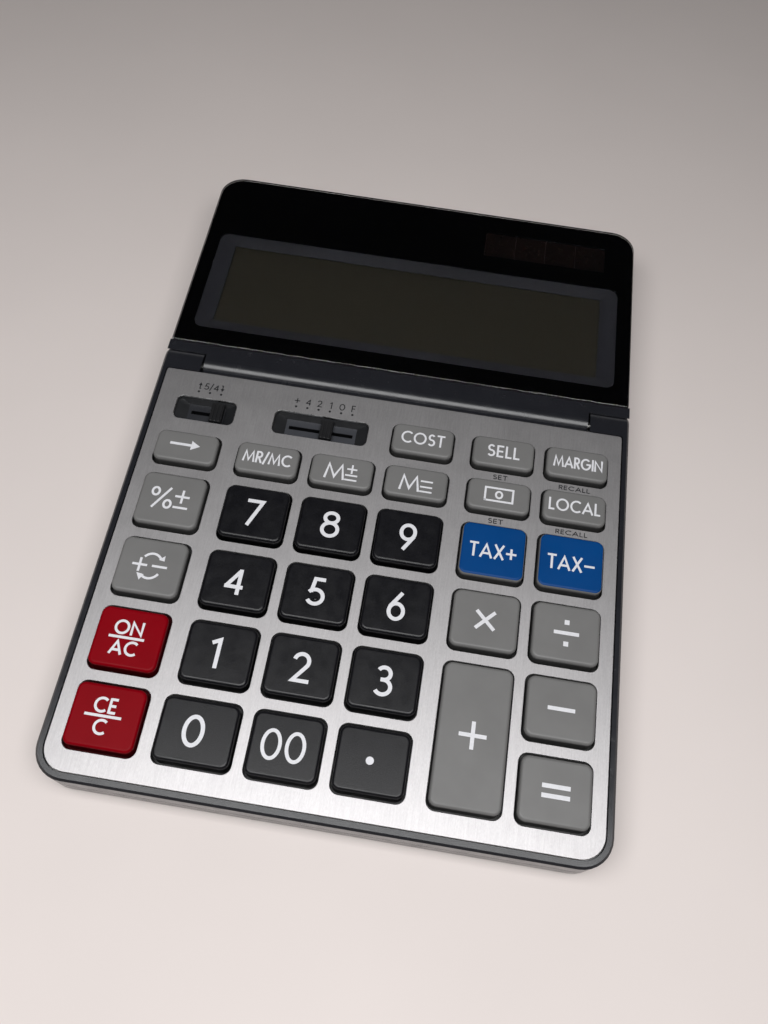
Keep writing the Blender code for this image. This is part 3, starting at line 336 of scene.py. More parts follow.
def add_band(mesh, outlines):
    """A band of faces through outlines, each with its level, whose loops it returns."""
    loops = [[mesh.verts.new((x, y, level)) for x, y in outline] for outline, level in outlines]
    skin(mesh, loops)
    return loops


def add_sheet(mesh, outlines, low, high):
    """A flat sheet between two levels, inside the first outline and outside the others."""
    add_face_with_holes(mesh, outlines, high)
    add_face_with_holes(mesh, outlines, low, False)
    for outline in outlines:
        add_band(mesh, [(outline, high), (outline, low)])


def finished_data(name, mesh):
    """Turn a bmesh into mesh data with its faces looking outwards."""
    bmesh.ops.recalc_face_normals(mesh, faces=mesh.faces)
    data = bpy.data.meshes.new(name)
    mesh.to_mesh(data)
    mesh.free()
    return data


def placed(name, data):
    """A new object in the scene."""
    thing = bpy.data.objects.new(name, data)
    bpy.context.scene.collection.objects.link(thing)
    return thing


def new_piece(name, mesh, space, body, material, weld=True):
    """Turn a bmesh into a named piece in one of the two spaces, riding on a body."""
    if weld:
        bmesh.ops.remove_doubles(mesh, verts=mesh.verts, dist=WELD_DISTANCE)
    data = finished_data(name, mesh)
    data.materials.append(material)
    data.shade_smooth()
    data.set_sharp_from_angle(angle=SOFT_ANGLE)
    for polygon in data.polygons:
        polygon.use_smooth = len(polygon.vertices) <= BAND_CORNERS
    piece = placed(name, data)
    piece.matrix_world = space
    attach(piece, body)
    return piece


def body_of(node):
    """The body that a node belongs to."""
    return NODES[node]["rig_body"]


def refined_copy(node, name, material, edge, segments=2):
    """A fine copy of a node: its flat faces made whole and its edges rounded a little."""
    mesh = bmesh.new()
    mesh.from_mesh(NODES[node].data)
    bmesh.ops.remove_doubles(mesh, verts=mesh.verts, dist=WELD_DISTANCE)
    bmesh.ops.dissolve_limit(
        mesh, angle_limit=FLAT_ANGLE, verts=mesh.verts, edges=mesh.edges)
    piece = new_piece(name, mesh, Matrix.Identity(4), body_of(node), material, weld=False)
    bevel = piece.modifiers.new("soft edges", 'BEVEL')
    bevel.width = edge
    bevel.segments = segments
    bevel.limit_method = 'ANGLE'
    bevel.angle_limit = SOFT_ANGLE
    bevel.use_clamp_overlap = True
    bevel.harden_normals = True
    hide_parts(node)
    return piece


def dress_node(node, material):
    """Give a node that keeps its shape a finish."""
    owner = NODES[node]
    for holder in owner.material_slots:
        holder.material = material


# Finishes
class Finish:
    """A material whose colour, roughness and relief come from nodes."""

    def __init__(self, name, colour, roughness, metallic=0.0):
        self.material = bpy.data.materials.new(name)
        self.material.use_nodes = True
        self.tree = self.material.node_tree
        self.shader = self.tree.nodes["Principled BSDF"]
        self.colour = colour
        self.roughness = roughness
        self.relief = None
        self.fix("Base Color", (*colour, 1))
        self.fix("Roughness", roughness)
        self.fix("Metallic", metallic)

    def add(self, kind):
        """A new node."""
        return self.tree.nodes.new("ShaderNode" + kind)

    def link(self, source, target):
        """Lead an output to an input."""
        self.tree.links.new(source, target)

    def fix(self, socket, value):
        """Set a uniform number on the shader itself."""
        self.shader.inputs[socket].default_value = value

    def noise(self, scale, detail=3.0, stretch=(1, 1, 1), blur=0.55):
        """Noise in the piece's own space, with cells of 1/scale metres."""
        place = self.add("TexCoord")
        mapping = self.add("Mapping")
        mapping.inputs["Scale"].default_value = stretch
        noise = self.add("TexNoise")
        noise.inputs["Scale"].default_value = scale
        noise.inputs["Detail"].default_value = detail
        noise.inputs["Roughness"].default_value = blur
        self.link(place.outputs["Object"], mapping.inputs["Vector"])
        self.link(mapping.outputs["Vector"], noise.inputs["Vector"])
        return noise.outputs["Fac"]

    def spread(self, value, low, high, bottom=0.3, top=0.7):
        """Map a texture value to a range."""
        ranger = self.add("MapRange")
        ranger.inputs["From Min"].default_value = bottom
        ranger.inputs["From Max"].default_value = top
        ranger.inputs["To Min"].default_value = low
        ranger.inputs["To Max"].default_value = high
        self.link(value, ranger.inputs["Value"])
        return ranger.outputs["Result"]

    def vary_colour(self, value, darker, lighter, bottom=0.3, top=0.7):
        """Let the colour run from darker to lighter shares of itself with a texture value."""
        blend = self.add("Mix")
        blend.data_type = 'RGBA'
        blend.inputs["A"].default_value = (*[part * darker for part in self.colour], 1)
        blend.inputs["B"].default_value = (*[part * lighter for part in self.colour], 1)
        self.link(self.spread(value, 0, 1, bottom, top), blend.inputs["Factor"])
        self.link(blend.outputs["Result"], self.shader.inputs["Base Color"])
        return blend.outputs["Result"]

    def paint_shade_at_foot(self, share, low, high):
        """Paint shade into the colour towards the foot of a piece that stands in a hole, where the
        hole's shade falls.
        """
        place = self.add("TexCoord")
        split = self.add("SeparateXYZ")
        self.link(place.outputs["Object"], split.inputs["Vector"])
        blend = self.add("Mix")
        blend.data_type = 'RGBA'
        blend.blend_type = 'MULTIPLY'
        blend.inputs["Factor"].default_value = 1
        self.link(self.shader.inputs["Base Color"].links[0].from_socket, blend.inputs["A"])
        grey = self.add("CombineColor")
        amount = self.spread(split.outputs["Z"], share, 1, low, high)
        for part in ("Red", "Green", "Blue"):
            self.link(amount, grey.inputs[part])
        self.link(grey.outputs["Color"], blend.inputs["B"])
        self.link(blend.outputs["Result"], self.shader.inputs["Base Color"])

    def vary_roughness(self, value, reach, bottom=0.3, top=0.7):
        """Let the roughness swing about its own value."""
        result = self.spread(value, self.roughness - reach, self.roughness + reach, bottom, top)
        self.link(result, self.shader.inputs["Roughness"])

    def emboss(self, value, depth, strength=1.0):
        """Raise the surface with a texture value, over any relief already there."""
        bump = self.add("Bump")
        bump.inputs["Strength"].default_value = strength
        bump.inputs["Distance"].default_value = depth
        self.link(value, bump.inputs["Height"])
        if self.relief:
            self.link(self.relief, bump.inputs["Normal"])
        self.relief = bump.outputs["Normal"]
        self.link(self.relief, self.shader.inputs["Normal"])


# Painted shade at the foot of a key: the share of its colour that it keeps there, and the levels
# between which that changes
KEY_FOOT_PAINTED_SHADE = (0.25, 0.0007, 0.0016)


def moulded_plastic(name, colour, roughness, grain=5200, grain_depth=0.000012, sheen=0.5,
                    foot=None):
    """Spark-eroded moulded plastic: an even fine grain with faint handling wear, and painted shade
    towards the foot when a foot is given.
    """
    finish = Finish(name, colour, roughness)
    cloud = finish.noise(70, 4)
    finish.vary_colour(cloud, 0.93, 1.07)
    # Painted shade: the colour darkens towards the foot of the piece, where shade falls in its hole
    if foot:
        finish.paint_shade_at_foot(*foot)
    finish.vary_roughness(finish.noise(260, 3), 0.04)
    finish.emboss(finish.noise(grain, 2), grain_depth)
    finish.fix("Specular IOR Level", sheen)
    return finish.material


def textured_key_plastic(name, colour):
    """The number keys: dark plastic with a fine raised texture, whose peaks are painted lighter as
    painted sparkle, and painted shade at the foot.
    """
    finish = Finish(name, colour, 0.34)
    peaks = finish.noise(4200, 1.5, blur=0.4)
    # Painted sparkle: the peaks of the texture get a lighter colour, standing in for glints
    finish.vary_colour(peaks, 0.7, 2.2, 0.42, 0.75)
    finish.paint_shade_at_foot(*KEY_FOOT_PAINTED_SHADE)
    finish.vary_roughness(finish.noise(300, 3), 0.05)
    finish.emboss(peaks, 0.000022)
    finish.fix("Specular IOR Level", 0.32)
    return finish.material


def brushed_metal(name, colour):
    """Anodised sheet, brushed up and down the keyboard, with faint handling marks."""
    finish = Finish(name, colour, 0.435, 1.0)
    streaks = finish.noise(1, 5, (5600, 1300, 1), 0.7)
    broad = finish.noise(1, 4, (2600, 160, 1), 0.6)
    cloud = finish.noise(90, 5, (1, 1.4, 1), 0.6)
    mixer = finish.add("Math")
    mixer.operation = 'ADD'
    finish.link(finish.spread(streaks, 0.0, 0.6), mixer.inputs[0])
    finish.link(finish.spread(broad, 0.0, 0.4), mixer.inputs[1])
    finish.vary_colour(mixer.outputs["Value"], 0.84, 1.14, 0.1, 0.9)
    finish.vary_roughness(cloud, 0.015)
    finish.emboss(streaks, 0.0000035)
    finish.fix("Anisotropic", 0.45)
    finish.fix("Anisotropic Rotation", 0.25)
    tangent = finish.add("Tangent")
    tangent.direction_type = 'UV_MAP'
    finish.link(tangent.outputs["Tangent"], finish.shader.inputs["Tangent"])
    return finish.material


def plain_ink(name, colour, roughness, gloss=0.4):
    """Printed or moulded-in signs, a little uneven."""
    finish = Finish(name, colour, roughness)
    finish.fix("Specular IOR Level", gloss)
    finish.vary_colour(finish.noise(1500, 2), 0.95, 1.05)
    finish.emboss(finish.noise(6000, 2), 0.000004)
    return finish.material


def clear_pane(name):
    """Polished clear acrylic."""
    finish = Finish(name, (1, 1, 1), 0.015)
    finish.vary_roughness(finish.noise(120, 3), 0.01)
    finish.fix("Transmission Weight", 1)
    finish.fix("IOR", 1.49)
    return finish.material


def liquid_crystal(name, colour):
    """The blank liquid crystal: a dim olive layer with the faintest cell pattern."""
    finish = Finish(name, colour, 0.32)
    finish.vary_colour(finish.noise(1400, 2), 0.97, 1.03)
    finish.vary_roughness(finish.noise(90, 2), 0.02)
    return finish.material


def solar_film(name, colour):
    """Amorphous film, dark with a brownish cast."""
    finish = Finish(name, colour, 0.28)
    finish.vary_colour(finish.noise(900, 4, (1, 3, 1)), 0.93, 1.07)
    finish.vary_roughness(finish.noise(900, 2), 0.008)
    finish.fix("Specular IOR Level", 0.2)
    return finish.material


def rubber(name, colour):
    """Matt rubber with a soft uneven skin."""
    finish = Finish(name, colour, 0.82)
    finish.vary_colour(finish.noise(220, 4), 0.85, 1.2)
    finish.emboss(finish.noise(2600, 3), 0.00002)
    return finish.material


def plated_steel(name, colour):
    """Bright zinc plating with a slight haze."""
    finish = Finish(name, colour, 0.32, 1.0)
    finish.vary_colour(finish.noise(500, 4), 0.85, 1.1)
    finish.vary_roughness(finish.noise(900, 3), 0.08)
    return finish.material


def board_lacquer(name, colour):
    """Green solder lacquer over faint tracks."""
    finish = Finish(name, colour, 0.45)
    tracks = finish.noise(1, 2, (900, 260, 1), 0.5)
    finish.vary_colour(tracks, 0.8, 1.35, 0.45, 0.55)
    finish.emboss(tracks, 0.00002)
    return finish.material


MATERIALS = {}


def make_materials():
    """Every finish of the calculator.

    After the colour stand the roughness, the cells of the grain per metre, its depth, the
    specular level and the painted shade at the foot.
    """
    tint = colours()
    MATERIALS.update(
        case=moulded_plastic("charcoal_plastic_fine", tint.charcoal, 0.24, 5200, 0.000006, 0.5),
        # The grey and red keys get painted shade at their foot
        grey_key=moulded_plastic(
            "grey_key_fine", tint.grey_key, 0.44, 4800, 0.000012, 0.35, KEY_FOOT_PAINTED_SHADE),
        number_key=textured_key_plastic("number_key_fine", tint.number_key),
        red_key=moulded_plastic("red_key_fine", tint.red_key, 0.38, 4800, 0.000010, 0.06, KEY_FOOT_PAINTED_SHADE),
        blue_key=moulded_plastic("blue_key_fine", tint.blue_key, 0.42, 4800, 0.000012, 0.12),
        plate=brushed_metal("brushed_aluminium_fine", tint.aluminium),
        cut_edge=plated_steel("cut_edge_fine", tint.cut_edge),
        legend=plain_ink("legend_white", tint.legend, 0.45),
        plate_ink=plain_ink("plate_print", tint.plate_ink, 0.5),
        pane=clear_pane("clear_acrylic"),
        pane_print=plain_ink("pane_print", tint.pane_print, 0.9, 0.0),
        lcd_frame=moulded_plastic("lcd_frame_fine", tint.lcd_frame, 0.5, 5200, 0.000008),
        lcd_glass=liquid_crystal("lcd_glass_fine", tint.lcd_glass),
        solar=solar_film("solar_film_fine", tint.solar_film),
        switch=moulded_plastic("switch_plastic_fine", (0.005, 0.005, 0.006), 0.45),
        recess=moulded_plastic("recess_fine", (0.008, 0.0085, 0.010), 0.45),
        # The slide floors are one plastic: the rounding floor is darker as painted shade, the decimal
        # floor lighter as painted light
        rounding_floor=moulded_plastic("rounding_floor_painted_shade", (0.017, 0.018, 0.022), 0.45),
        decimal_floor=moulded_plastic("decimal_floor_painted_light", (0.036, 0.038, 0.045), 0.45),
        carbon=plain_ink("carbon_pad", (0.004, 0.004, 0.005), 0.7, 0.2),
        foot=rubber("foot_rubber_fine", (0.018, 0.018, 0.018)),
        mat=rubber("mat_rubber_fine", (0.30, 0.30, 0.29)),
        steel=plated_steel("zinc_steel_fine", (0.62, 0.61, 0.59)),
        board=board_lacquer("circuit_board_fine", (0.020, 0.130, 0.045)),
    )


# Signs, drawn as bands of even width; one unit is the height of a capital letter
SIGN_STROKE = 0.13
LOW_LINE = SIGN_STROKE / 2
TOP_LINE = 1 - SIGN_STROKE / 2
MITRE_LIMIT = 2.1
LETTER_GAP = 0.13
BOW_STEP = radians(9)


def bow(x, y, across, up, start, end):
    """Points of an arc from one angle to another, in degrees."""
    count = max(2, round(abs(radians(end - start)) / BOW_STEP))
    turns = [radians(start + (end - start) * step / count) for step in range(count + 1)]
    return [(x + across * cos(turn), y + up * sin(turn)) for turn in turns]


def line(*points):
    """An open band along points."""
    return "line", list(points)


def ring(x, y, across, up):
    """A closed band along an ellipse."""
    return "ring", bow(x, y, across, up, 0, 360)[:-1]


def patch(*points):
    """A filled shape."""
    return "patch", list(points)


def sign_table():
    """Width and bands of each sign.

    Letters stand for themselves. The others are the bars of minus, plus and equals (m, p, e),
    times (*), divide (:), a dot (.), an arrow (>), up (^), down (v), a banknote (n) and the
    change of sign (s), which is drawn in millimetres round its middle.
    """
    low, top = LOW_LINE, TOP_LINE
    return {
        "0": (0.75, [ring(0.375, 0.5, 0.31, 0.435)]),
        "1": (0.31, [line((0.0, 0.81), (0.245, top), (0.245, 0))]),
        "2": (0.64, [("line", bow(0.30, 0.695, 0.24, 0.24, 168, -38)
                      + [(0.10, low), (0.64, low)])]),
        "3": (0.62, [("line", bow(0.29, 0.735, 0.20, 0.20, 150, -90)),
                     ("line", bow(0.29, 0.30, 0.245, 0.235, 90, -148)),
                     line((0.20, 0.535), (0.30, 0.535))]),
        "4": (0.66, [line((0.50, 0), (0.50, 0.90)), line((0.50, 0.86), (0.08, 0.27)),
                     line((0.02, 0.27), (0.66, 0.27))]),
        "5": (0.68, [line((0.60, top), (0.245, top), (0.165, 0.46)),
                     ("line", bow(0.325, 0.315, 0.275, 0.25, 146, -150))]),
        "6": (0.61, [ring(0.305, 0.335, 0.235, 0.267), line((0.085, 0.47), (0.445, 1))]),
        "7": (0.64, [line((0, top), (0.56, top), (0.15, 0))]),
        "8": (0.72, [ring(0.36, 0.31, 0.29, 0.245), ring(0.36, 0.745, 0.245, 0.19)]),
        "9": (0.61, [ring(0.305, 0.665, 0.235, 0.267), line((0.525, 0.53), (0.195, 0))]),
        "A": (0.84, [line((0.03, 0), (0.42, 0.90), (0.81, 0)), line((0.18, 0.30), (0.66, 0.30))]),
        "C": (0.84, [("line", bow(0.5, 0.5, 0.435, 0.435, 47, 313))]),
        "E": (0.52, [line((0.065, 0), (0.065, 1)), line((0.065, top), (0.50, top)),
                     line((0.065, 0.5), (0.46, 0.5)), line((0.065, low), (0.50, low))]),
        "F": (0.48, [line((0.065, 0), (0.065, 1)), line((0.065, top), (0.48, top)),
                     line((0.065, 0.5), (0.44, 0.5))]),
        "G": (1.0, [("line", bow(0.5, 0.5, 0.435, 0.435, 45, 360) + [(0.55, 0.5)])]),
        "I": (0.13, [line((0.065, 0), (0.065, 1))]),
        "L": (0.46, [line((0.065, 1), (0.065, low), (0.46, low))]),
        "M": (0.98, [line((0.03, 0), (0.17, 0.90), (0.49, 0.14), (0.81, 0.90), (0.95, 0))]),
        "N": (0.80, [line((0.065, 0), (0.065, 0.90), (0.735, 0.10), (0.735, 1))]),
        "O": (1.0, [ring(0.5, 0.5, 0.435, 0.435)]),
        "R": (0.56, [line((0.065, 0), (0.065, 1)),
                     ("line", [(0.065, top)] + bow(0.27, 0.71, 0.21, 0.225, 90, -90)
                      + [(0.065, 0.485)]),
                     line((0.25, 0.47), (0.52, 0))]),
        "S": (0.56, [("line", bow(0.28, 0.725, 0.19, 0.21, 30, 270)
                      + bow(0.28, 0.29, 0.22, 0.225, 90, -150)[1:])]),
        "T": (0.62, [line((0, top), (0.62, top)), line((0.31, 0.90), (0.31, 0))]),
        "X": (0.70, [line((0.05, 0), (0.65, 1)), line((0.05, 1), (0.65, 0))]),
        "+": (0.72, [line((0, 0.47), (0.72, 0.47)), line((0.36, 0.11), (0.36, 0.83))]),
        "-": (0.72, [line((0, 0.47), (0.72, 0.47))]),
        "/": (0.34, [line((0, -0.08), (0.34, 1.06))]),
        "%": (1.0, [ring(0.20, 0.76, 0.145, 0.175), ring(0.80, 0.24, 0.145, 0.175),
                    line((0.18, 0), (0.82, 1))]),
        "*": (1.0, [line((0, 0), (1, 1)), line((0, 1), (1, 0))]),
        ":": (1.0, [line((0, 0.5), (1, 0.5)),
                    patch((0.403, 0.85), (0.597, 0.85), (0.597, 1.045), (0.403, 1.045)),
                    patch((0.403, -0.045), (0.597, -0.045), (0.597, 0.15), (0.403, 0.15))]),
        "p": (1.0, [line((0, 0.5), (1, 0.5)), line((0.5, 0), (0.5, 1))]),
        "m": (1.0, [line((0, 0.5), (1, 0.5))]),
        "e": (1.0, [line((0, 0.668), (1, 0.668)), line((0, 0.332), (1, 0.332))]),
        ".": (1.0, [("patch", bow(0.5, 0.5, 0.5, 0.5, 0, 360)[:-1])]),
        ">": (2.9, [line((0, 0.5), (2.2, 0.5)), patch((2.05, 0), (2.9, 0.5), (2.05, 1))]),
        "^": (0.5, [line((0.45, low), (0.25, low), (0.25, 0.6)),
                    patch((0.0, 0.55), (0.5, 0.55), (0.25, 1))]),
        "v": (0.5, [line((0.05, top), (0.25, top), (0.25, 0.4)),
                    patch((0.0, 0.45), (0.25, 0), (0.5, 0.45))]),
        "n": (2.1, [line((0.0, 0.065), (2.035, 0.065), (2.035, 0.935),
                         (0.065, 0.935), (0.065, 0.0)),
                    ring(1.05, 0.5, 0.22, 0.22)]),
        "s": (0, [line((-4.85, 0.1), (-0.8, 0.1)), line((-2.83, -1.9), (-2.83, 2.1)),
                  line((0.5, 0.15), (4.6, 0.15)),
                  ("line", bow(0.15, -0.2, 3.1, 3.85, 136, 42)),
                  ("line", bow(0.15, 0.1, 3.1, 3.65, -34, -132)),
                  patch((3.45, 1.9), (3.35, 3.5), (1.85, 2.1)),
                  patch((-3.05, -2.3), (-1.0, -2.6), (-1.9, -4.3))]),
    }


SIGNS = sign_table()


def offset_corner(before, here, after, half):
    """Left side of a band at a point, mitred between the runs before and after it."""
    normals = []
    for first, second in ((before, here), (here, after)):
        if first is None or second is None:
            continue
        run = Vector(second) - Vector(first)
        normals.append(Vector((-run.y, run.x)).normalized())
    middle = sum(normals, Vector((0, 0)))
    middle.normalize()
    reach = min(1 / max(middle.dot(normals[0]), 0.01), MITRE_LIMIT)
    return middle * half * reach


def add_band_solid(mesh, points, width, low, high, closed):
    """A flat band of even width along points, as a closed solid."""
    rings = []
    count = len(points)
    for index, here in enumerate(points):
        before = points[index - 1] if closed or index > 0 else None
        after = points[(index + 1) % count] if closed or index < count - 1 else None
        side = offset_corner(before, here, after, width / 2)
        left = (here[0] + side.x, here[1] + side.y)
        right = (here[0] - side.x, here[1] - side.y)
        rings.append([(*left, high), (*right, high), (*right, low), (*left, low)])
    add_rings(mesh, rings, closed)


def write_sign(mesh, sign, left, front, height, stroke, squeeze, low, high):
    """Draw one sign with its lower left corner at a place."""
    step = (high - low) / 8
    for order, (kind, shares) in enumerate(SIGNS[sign][1]):
        points = [(left + x * height * squeeze, front + y * height) for x, y in shares]
        top = high + order * step
        if kind == "patch":
            add_loft(mesh, [(points, low), (points, top)])
        else:
            add_band_solid(mesh, points, stroke, low, top, kind == "ring")


def write_word(mesh, word, x, y, height, stroke, low, high, width=None):
    """Draw a word with its middle at a place, drawn in to a width if one is given."""
    natural = sum(SIGNS[sign][0] for sign in word) + LETTER_GAP * (len(word) - 1)
    squeeze = width / (natural * height) if width else 1
    place = x - natural * height * squeeze / 2
    for sign in word:
        write_sign(mesh, sign, place, y - height / 2, height, stroke, squeeze, low, high)
        place += (SIGNS[sign][0] + LETTER_GAP) * height * squeeze


MM = 0.001
DIGIT = (8.1, 1.04)
BAR = (9.3, 0.68)
SMALL = (3.85, 0.66)
# Signs of each key: the word, the place from the middle of the key, the height, the stroke
# and the width of the word if it is drawn in, all in millimetres
LEGENDS = {
    "key_0": [("0", -0.7, 0.05, *DIGIT, 5.45)],
    "key_00": [("00", -0.45, 0.05, 7.9, 0.90, 11.2)],
    "key_point": [(".", -0.5, 0, 2.0, 1.0, None)],
    "key_1": [("1", -0.95, -0.05, *DIGIT, None)],
    "key_2": [("2", 0, -0.2, *DIGIT, 5.0)],
    "key_3": [("3", -0.2, -0.2, *DIGIT, 5.1)],
    "key_4": [("4", -0.6, -0.1, *DIGIT, 5.1)],
    "key_5": [("5", -0.15, 0.4, *DIGIT, 5.2)],
    "key_6": [("6", 0, -0.2, *DIGIT, None)],
    "key_7": [("7", 0.1, 0, *DIGIT, 4.95)],
    "key_8": [("8", 0, 0.1, *DIGIT, 5.3)],
    "key_9": [("9", 0, 0.1, *DIGIT, None)],
    "key_plus": [("p", 0, 0, 7.0, 1.0, None)],
    "key_minus": [("m", 0, 0, 7.0, 1.0, None)],
    "key_equals": [("e", 0, 0, 7.0, 1.08, None)],
    "key_times": [("*", 0, 0, 5.0, 0.96, None)],
    "key_divide": [(":", 0, 0, 6.7, 1.0, None)],
    "key_percent": [("%", -2.45, 0.2, 6.7, 0.66, 6.6), ("p", 3.2, 1.25, 4.1, 0.65, None),
                    ("m", 3.3, -2.15, 4.1, 0.65, None)],
    "key_sign": [("s", 0, 0.5, 1.0, 0.65, None)],
    "key_on": [("ON", -0.5, 2.7, *SMALL, None), ("m", -0.5, 0, *BAR, None),
               ("AC", -0.5, -2.7, *SMALL, None)],
    "key_clear": [("CE", -0.5, 2.7, *SMALL, None), ("m", -0.5, 0, *BAR, None),
                  ("C", -0.5, -2.7, *SMALL, None)],
    "key_back": [(">", -0.4, 0.55, 3.0, 0.8, None)],
    "key_memory_recall": [("MR/MC", 0, 0.3, 3.8, 0.56, 13.8)],
    "key_memory_add": [("M", -1.85, -0.3, 5.2, 0.66, 5.7), ("p", 2.95, 0.9, 2.9, 0.52, None),
                       ("m", 2.95, -1.1, 3.5, 0.52, None), ("m", 2.95, -2.6, 3.5, 0.52, None)],
    "key_memory_take": [("M", -1.85, -0.3, 5.2, 0.66, 5.7), ("m", 2.95, 0.7, 3.5, 0.52, None),
                        ("m", 2.95, -1.1, 3.5, 0.52, None), ("m", 2.95, -2.6, 3.5, 0.52, None)],
    "key_currency": [("n", 0, 0.1, 4.7, 0.58, 8.4)],
    "key_local": [("LOCAL", 0, 0.2, 3.9, 0.56, 14.6)],
    "key_cost": [("COST", 0, 0.35, 4.0, 0.56, 12.7)],
    "key_sell": [("SELL", 0, 0.2, 4.0, 0.58, 9.4)],
    "key_margin": [("MARGIN", 0.2, 0.2, 3.8, 0.56, 14.1)],
    "key_tax_add": [("TAX+", 0, -0.25, 4.4, 0.62, 13.0)],
    "key_tax_take": [("TAX-", 0, -0.25, 4.4, 0.62, 13.0)],
}


# Pieces
def key_points(node):
    """Corners of a key in the deck's space."""
    return points_of(node, DECK)


def key_face_level():
    """Level of the faces of the keys, which is the same for all."""
    return levels_of(key_points("key_0"))[-1]


def key_hole(node):
    """Edges of a key's hole in the faceplate."""
    size = sizes()
    hole = span_at(key_points(node), key_face_level())
    hole.left -= size.key_side_slope + size.key_clearance
    hole.right += size.key_side_slope + size.key_clearance
    hole.front -= size.key_end_slope + size.key_clearance
    hole.rear += size.key_end_slope + size.key_clearance
    return hole


def edge_sections(face, level, first=0):
    """Outlines up the rounded edge of a key, each with its level, from a step of it on."""
    size = sizes()
    sections = []
    for step in range(first, EDGE_STEPS + 1):
        turn = step / EDGE_STEPS * pi / 2
        grow = size.key_brim - size.key_edge * (1 - cos(turn))
        outline = grown(face, grow, grow, size.key_corner - size.key_brim + grow)
        sections.append((outline, level - size.key_edge * (1 - sin(turn))))
    return sections


def key_material(node):
    """The plastic of a key."""
    if node in RED_KEYS:
        return MATERIALS["red_key"]
    if node in NUMBER_KEYS:
        return MATERIALS["number_key"]
    return MATERIALS["grey_key"]


def make_keycap(node):
    """A key: face with a rounded edge, leaning sides, flange and stem."""
    size = sizes()
    points = key_points(node)
    levels = levels_of(points)
    face_level = key_face_level()
    stem_end, flange_under, flange_top, ceiling = levels[:4]
    face = span_at(points, face_level)
    stem = span_at(points, stem_end)
    flange = span_at(points, flange_top)
    foot = size.key_brim + size.key_lean
    side, end = size.key_side_slope, size.key_end_slope
    corner = size.key_corner
    stem_outline = grown(stem, 0, 0, stem.width / 2)
    hollow = grown(face, side - KEY_WALL, end - KEY_WALL, corner - KEY_WALL)
    skirt = grown(flange, 0, 0, corner)
    mesh = bmesh.new()
    add_loft(mesh, [
        (stem_outline, stem_end), (stem_outline, ceiling),
        (hollow, ceiling), (hollow, flange_under),
        (skirt, flange_under), (skirt, flange_top),
        (grown(face, foot, foot, corner), flange_top),
    ] + edge_sections(face, face_level))
    piece = new_piece(f"cap_of_{node}", mesh, DECK, body_of(node), key_material(node))
    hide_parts(node)
    return piece


def make_blue_face(node):
    """The blue face laid into the grey cap of a tax key."""
    ink = sizes().ink
    level = key_face_level()
    face = span_at(key_points(node), level)
    sections = edge_sections(face, level + ink, EDGE_STEPS // 2)
    under = (sections[0][0], sections[0][1] - ink * 2)
    mesh = bmesh.new()
    add_loft(mesh, [under] + sections)
    return new_piece(f"blue_face_of_{node}", mesh, DECK, body_of(node), MATERIALS["blue_key"])


def make_legend(node):
    """The signs of a key."""
    ink = sizes().ink
    level = key_face_level()
    face = span_at(key_points(node), level)
    if node in BLUE_KEYS:
        level += ink
    mesh = bmesh.new()
    for word, x, y, height, stroke, width in LEGENDS[node]:
        write_word(mesh, word, face.x + x * MM, face.y + y * MM, height * MM, stroke * MM,
                   level - ink, level + ink, width * MM if width else None)
    return new_piece(f"legend_of_{node}", mesh, DECK, body_of(node), MATERIALS["legend"], False)


def make_touch_pip():
    """The small dome on the middle number key."""
    node = "key_5"
    points = key_points(node)
    level = key_face_level()
    crown = span_at(points, max(point.z for point in points))
    radius = crown.width
    height = crown.high - level
    mesh = bmesh.new()
    rings = []
    for step in range(EDGE_STEPS):
        turn = step / EDGE_STEPS * pi / 2
        rings.append((circle(crown.x, crown.y, radius * cos(turn)), level + height * sin(turn)))
    add_loft(mesh, [(circle(crown.x, crown.y, radius), level - height)] + rings)
    return new_piece("touch_pip", mesh, DECK, body_of(node), MATERIALS["number_key"])


def switch_span(name):
    """Edges of a switch window in the faceplate."""
    window = Span(points_of(f"{name}_switch_frame", DECK))
    window.left += SWITCH_WALL
    window.right -= SWITCH_WALL
    window.front += SWITCH_WALL
    window.rear -= SWITCH_WALL
    return window


def make_faceplate():
    """The brushed plate, with a bright cut edge round it and round each hole."""
    size = sizes()
    plate = Span(points_of("faceplate", DECK))
    chamfer = size.plate_chamfer
    mesh = bmesh.new()

    def plate_outline(grow):
        return grown(plate, grow, grow, size.plate_corner + grow, size.plate_rear_corner + grow)

    def hole_outline(span, grow, radius):
        return grown(span, grow, grow, radius + grow)

    holes = [(key_hole(node), size.hole_corner) for node in KEY_NODES]
    holes += [(switch_span(name), size.window_corner) for name in SWITCHES]
    tops = [plate_outline(-chamfer)]
    tops += [hole_outline(hole, chamfer, corner) for hole, corner in holes]
    bottoms = [plate_outline(0)]
    bottoms += [hole_outline(hole, 0, corner) for hole, corner in holes]
    add_face_with_holes(mesh, tops, 0)
    add_face_with_holes(mesh, bottoms, plate.low, False)
    for top, bottom in zip(tops, bottoms):
        add_band(mesh, [(top, 0), (bottom, -chamfer), (bottom, plate.low)])
    piece = new_piece("brushed_faceplate", mesh, DECK, body_of("faceplate"), MATERIALS["plate"])
    piece.data.materials.append(MATERIALS["cut_edge"])
    for polygon in piece.data.polygons:
        polygon.material_index = int(abs(polygon.normal.z) < UP_SHARE)
    lay_grain(piece)
    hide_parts("faceplate")
    return piece


def lay_grain(piece):
    """Map the piece flat, so that its brushing runs up the keyboard."""
    layer = piece.data.uv_layers.new(name="grain")
    for corner in piece.data.loops:
        place = piece.data.vertices[corner.vertex_index].co
        layer.data[corner.index].uv = (place.x, place.y)


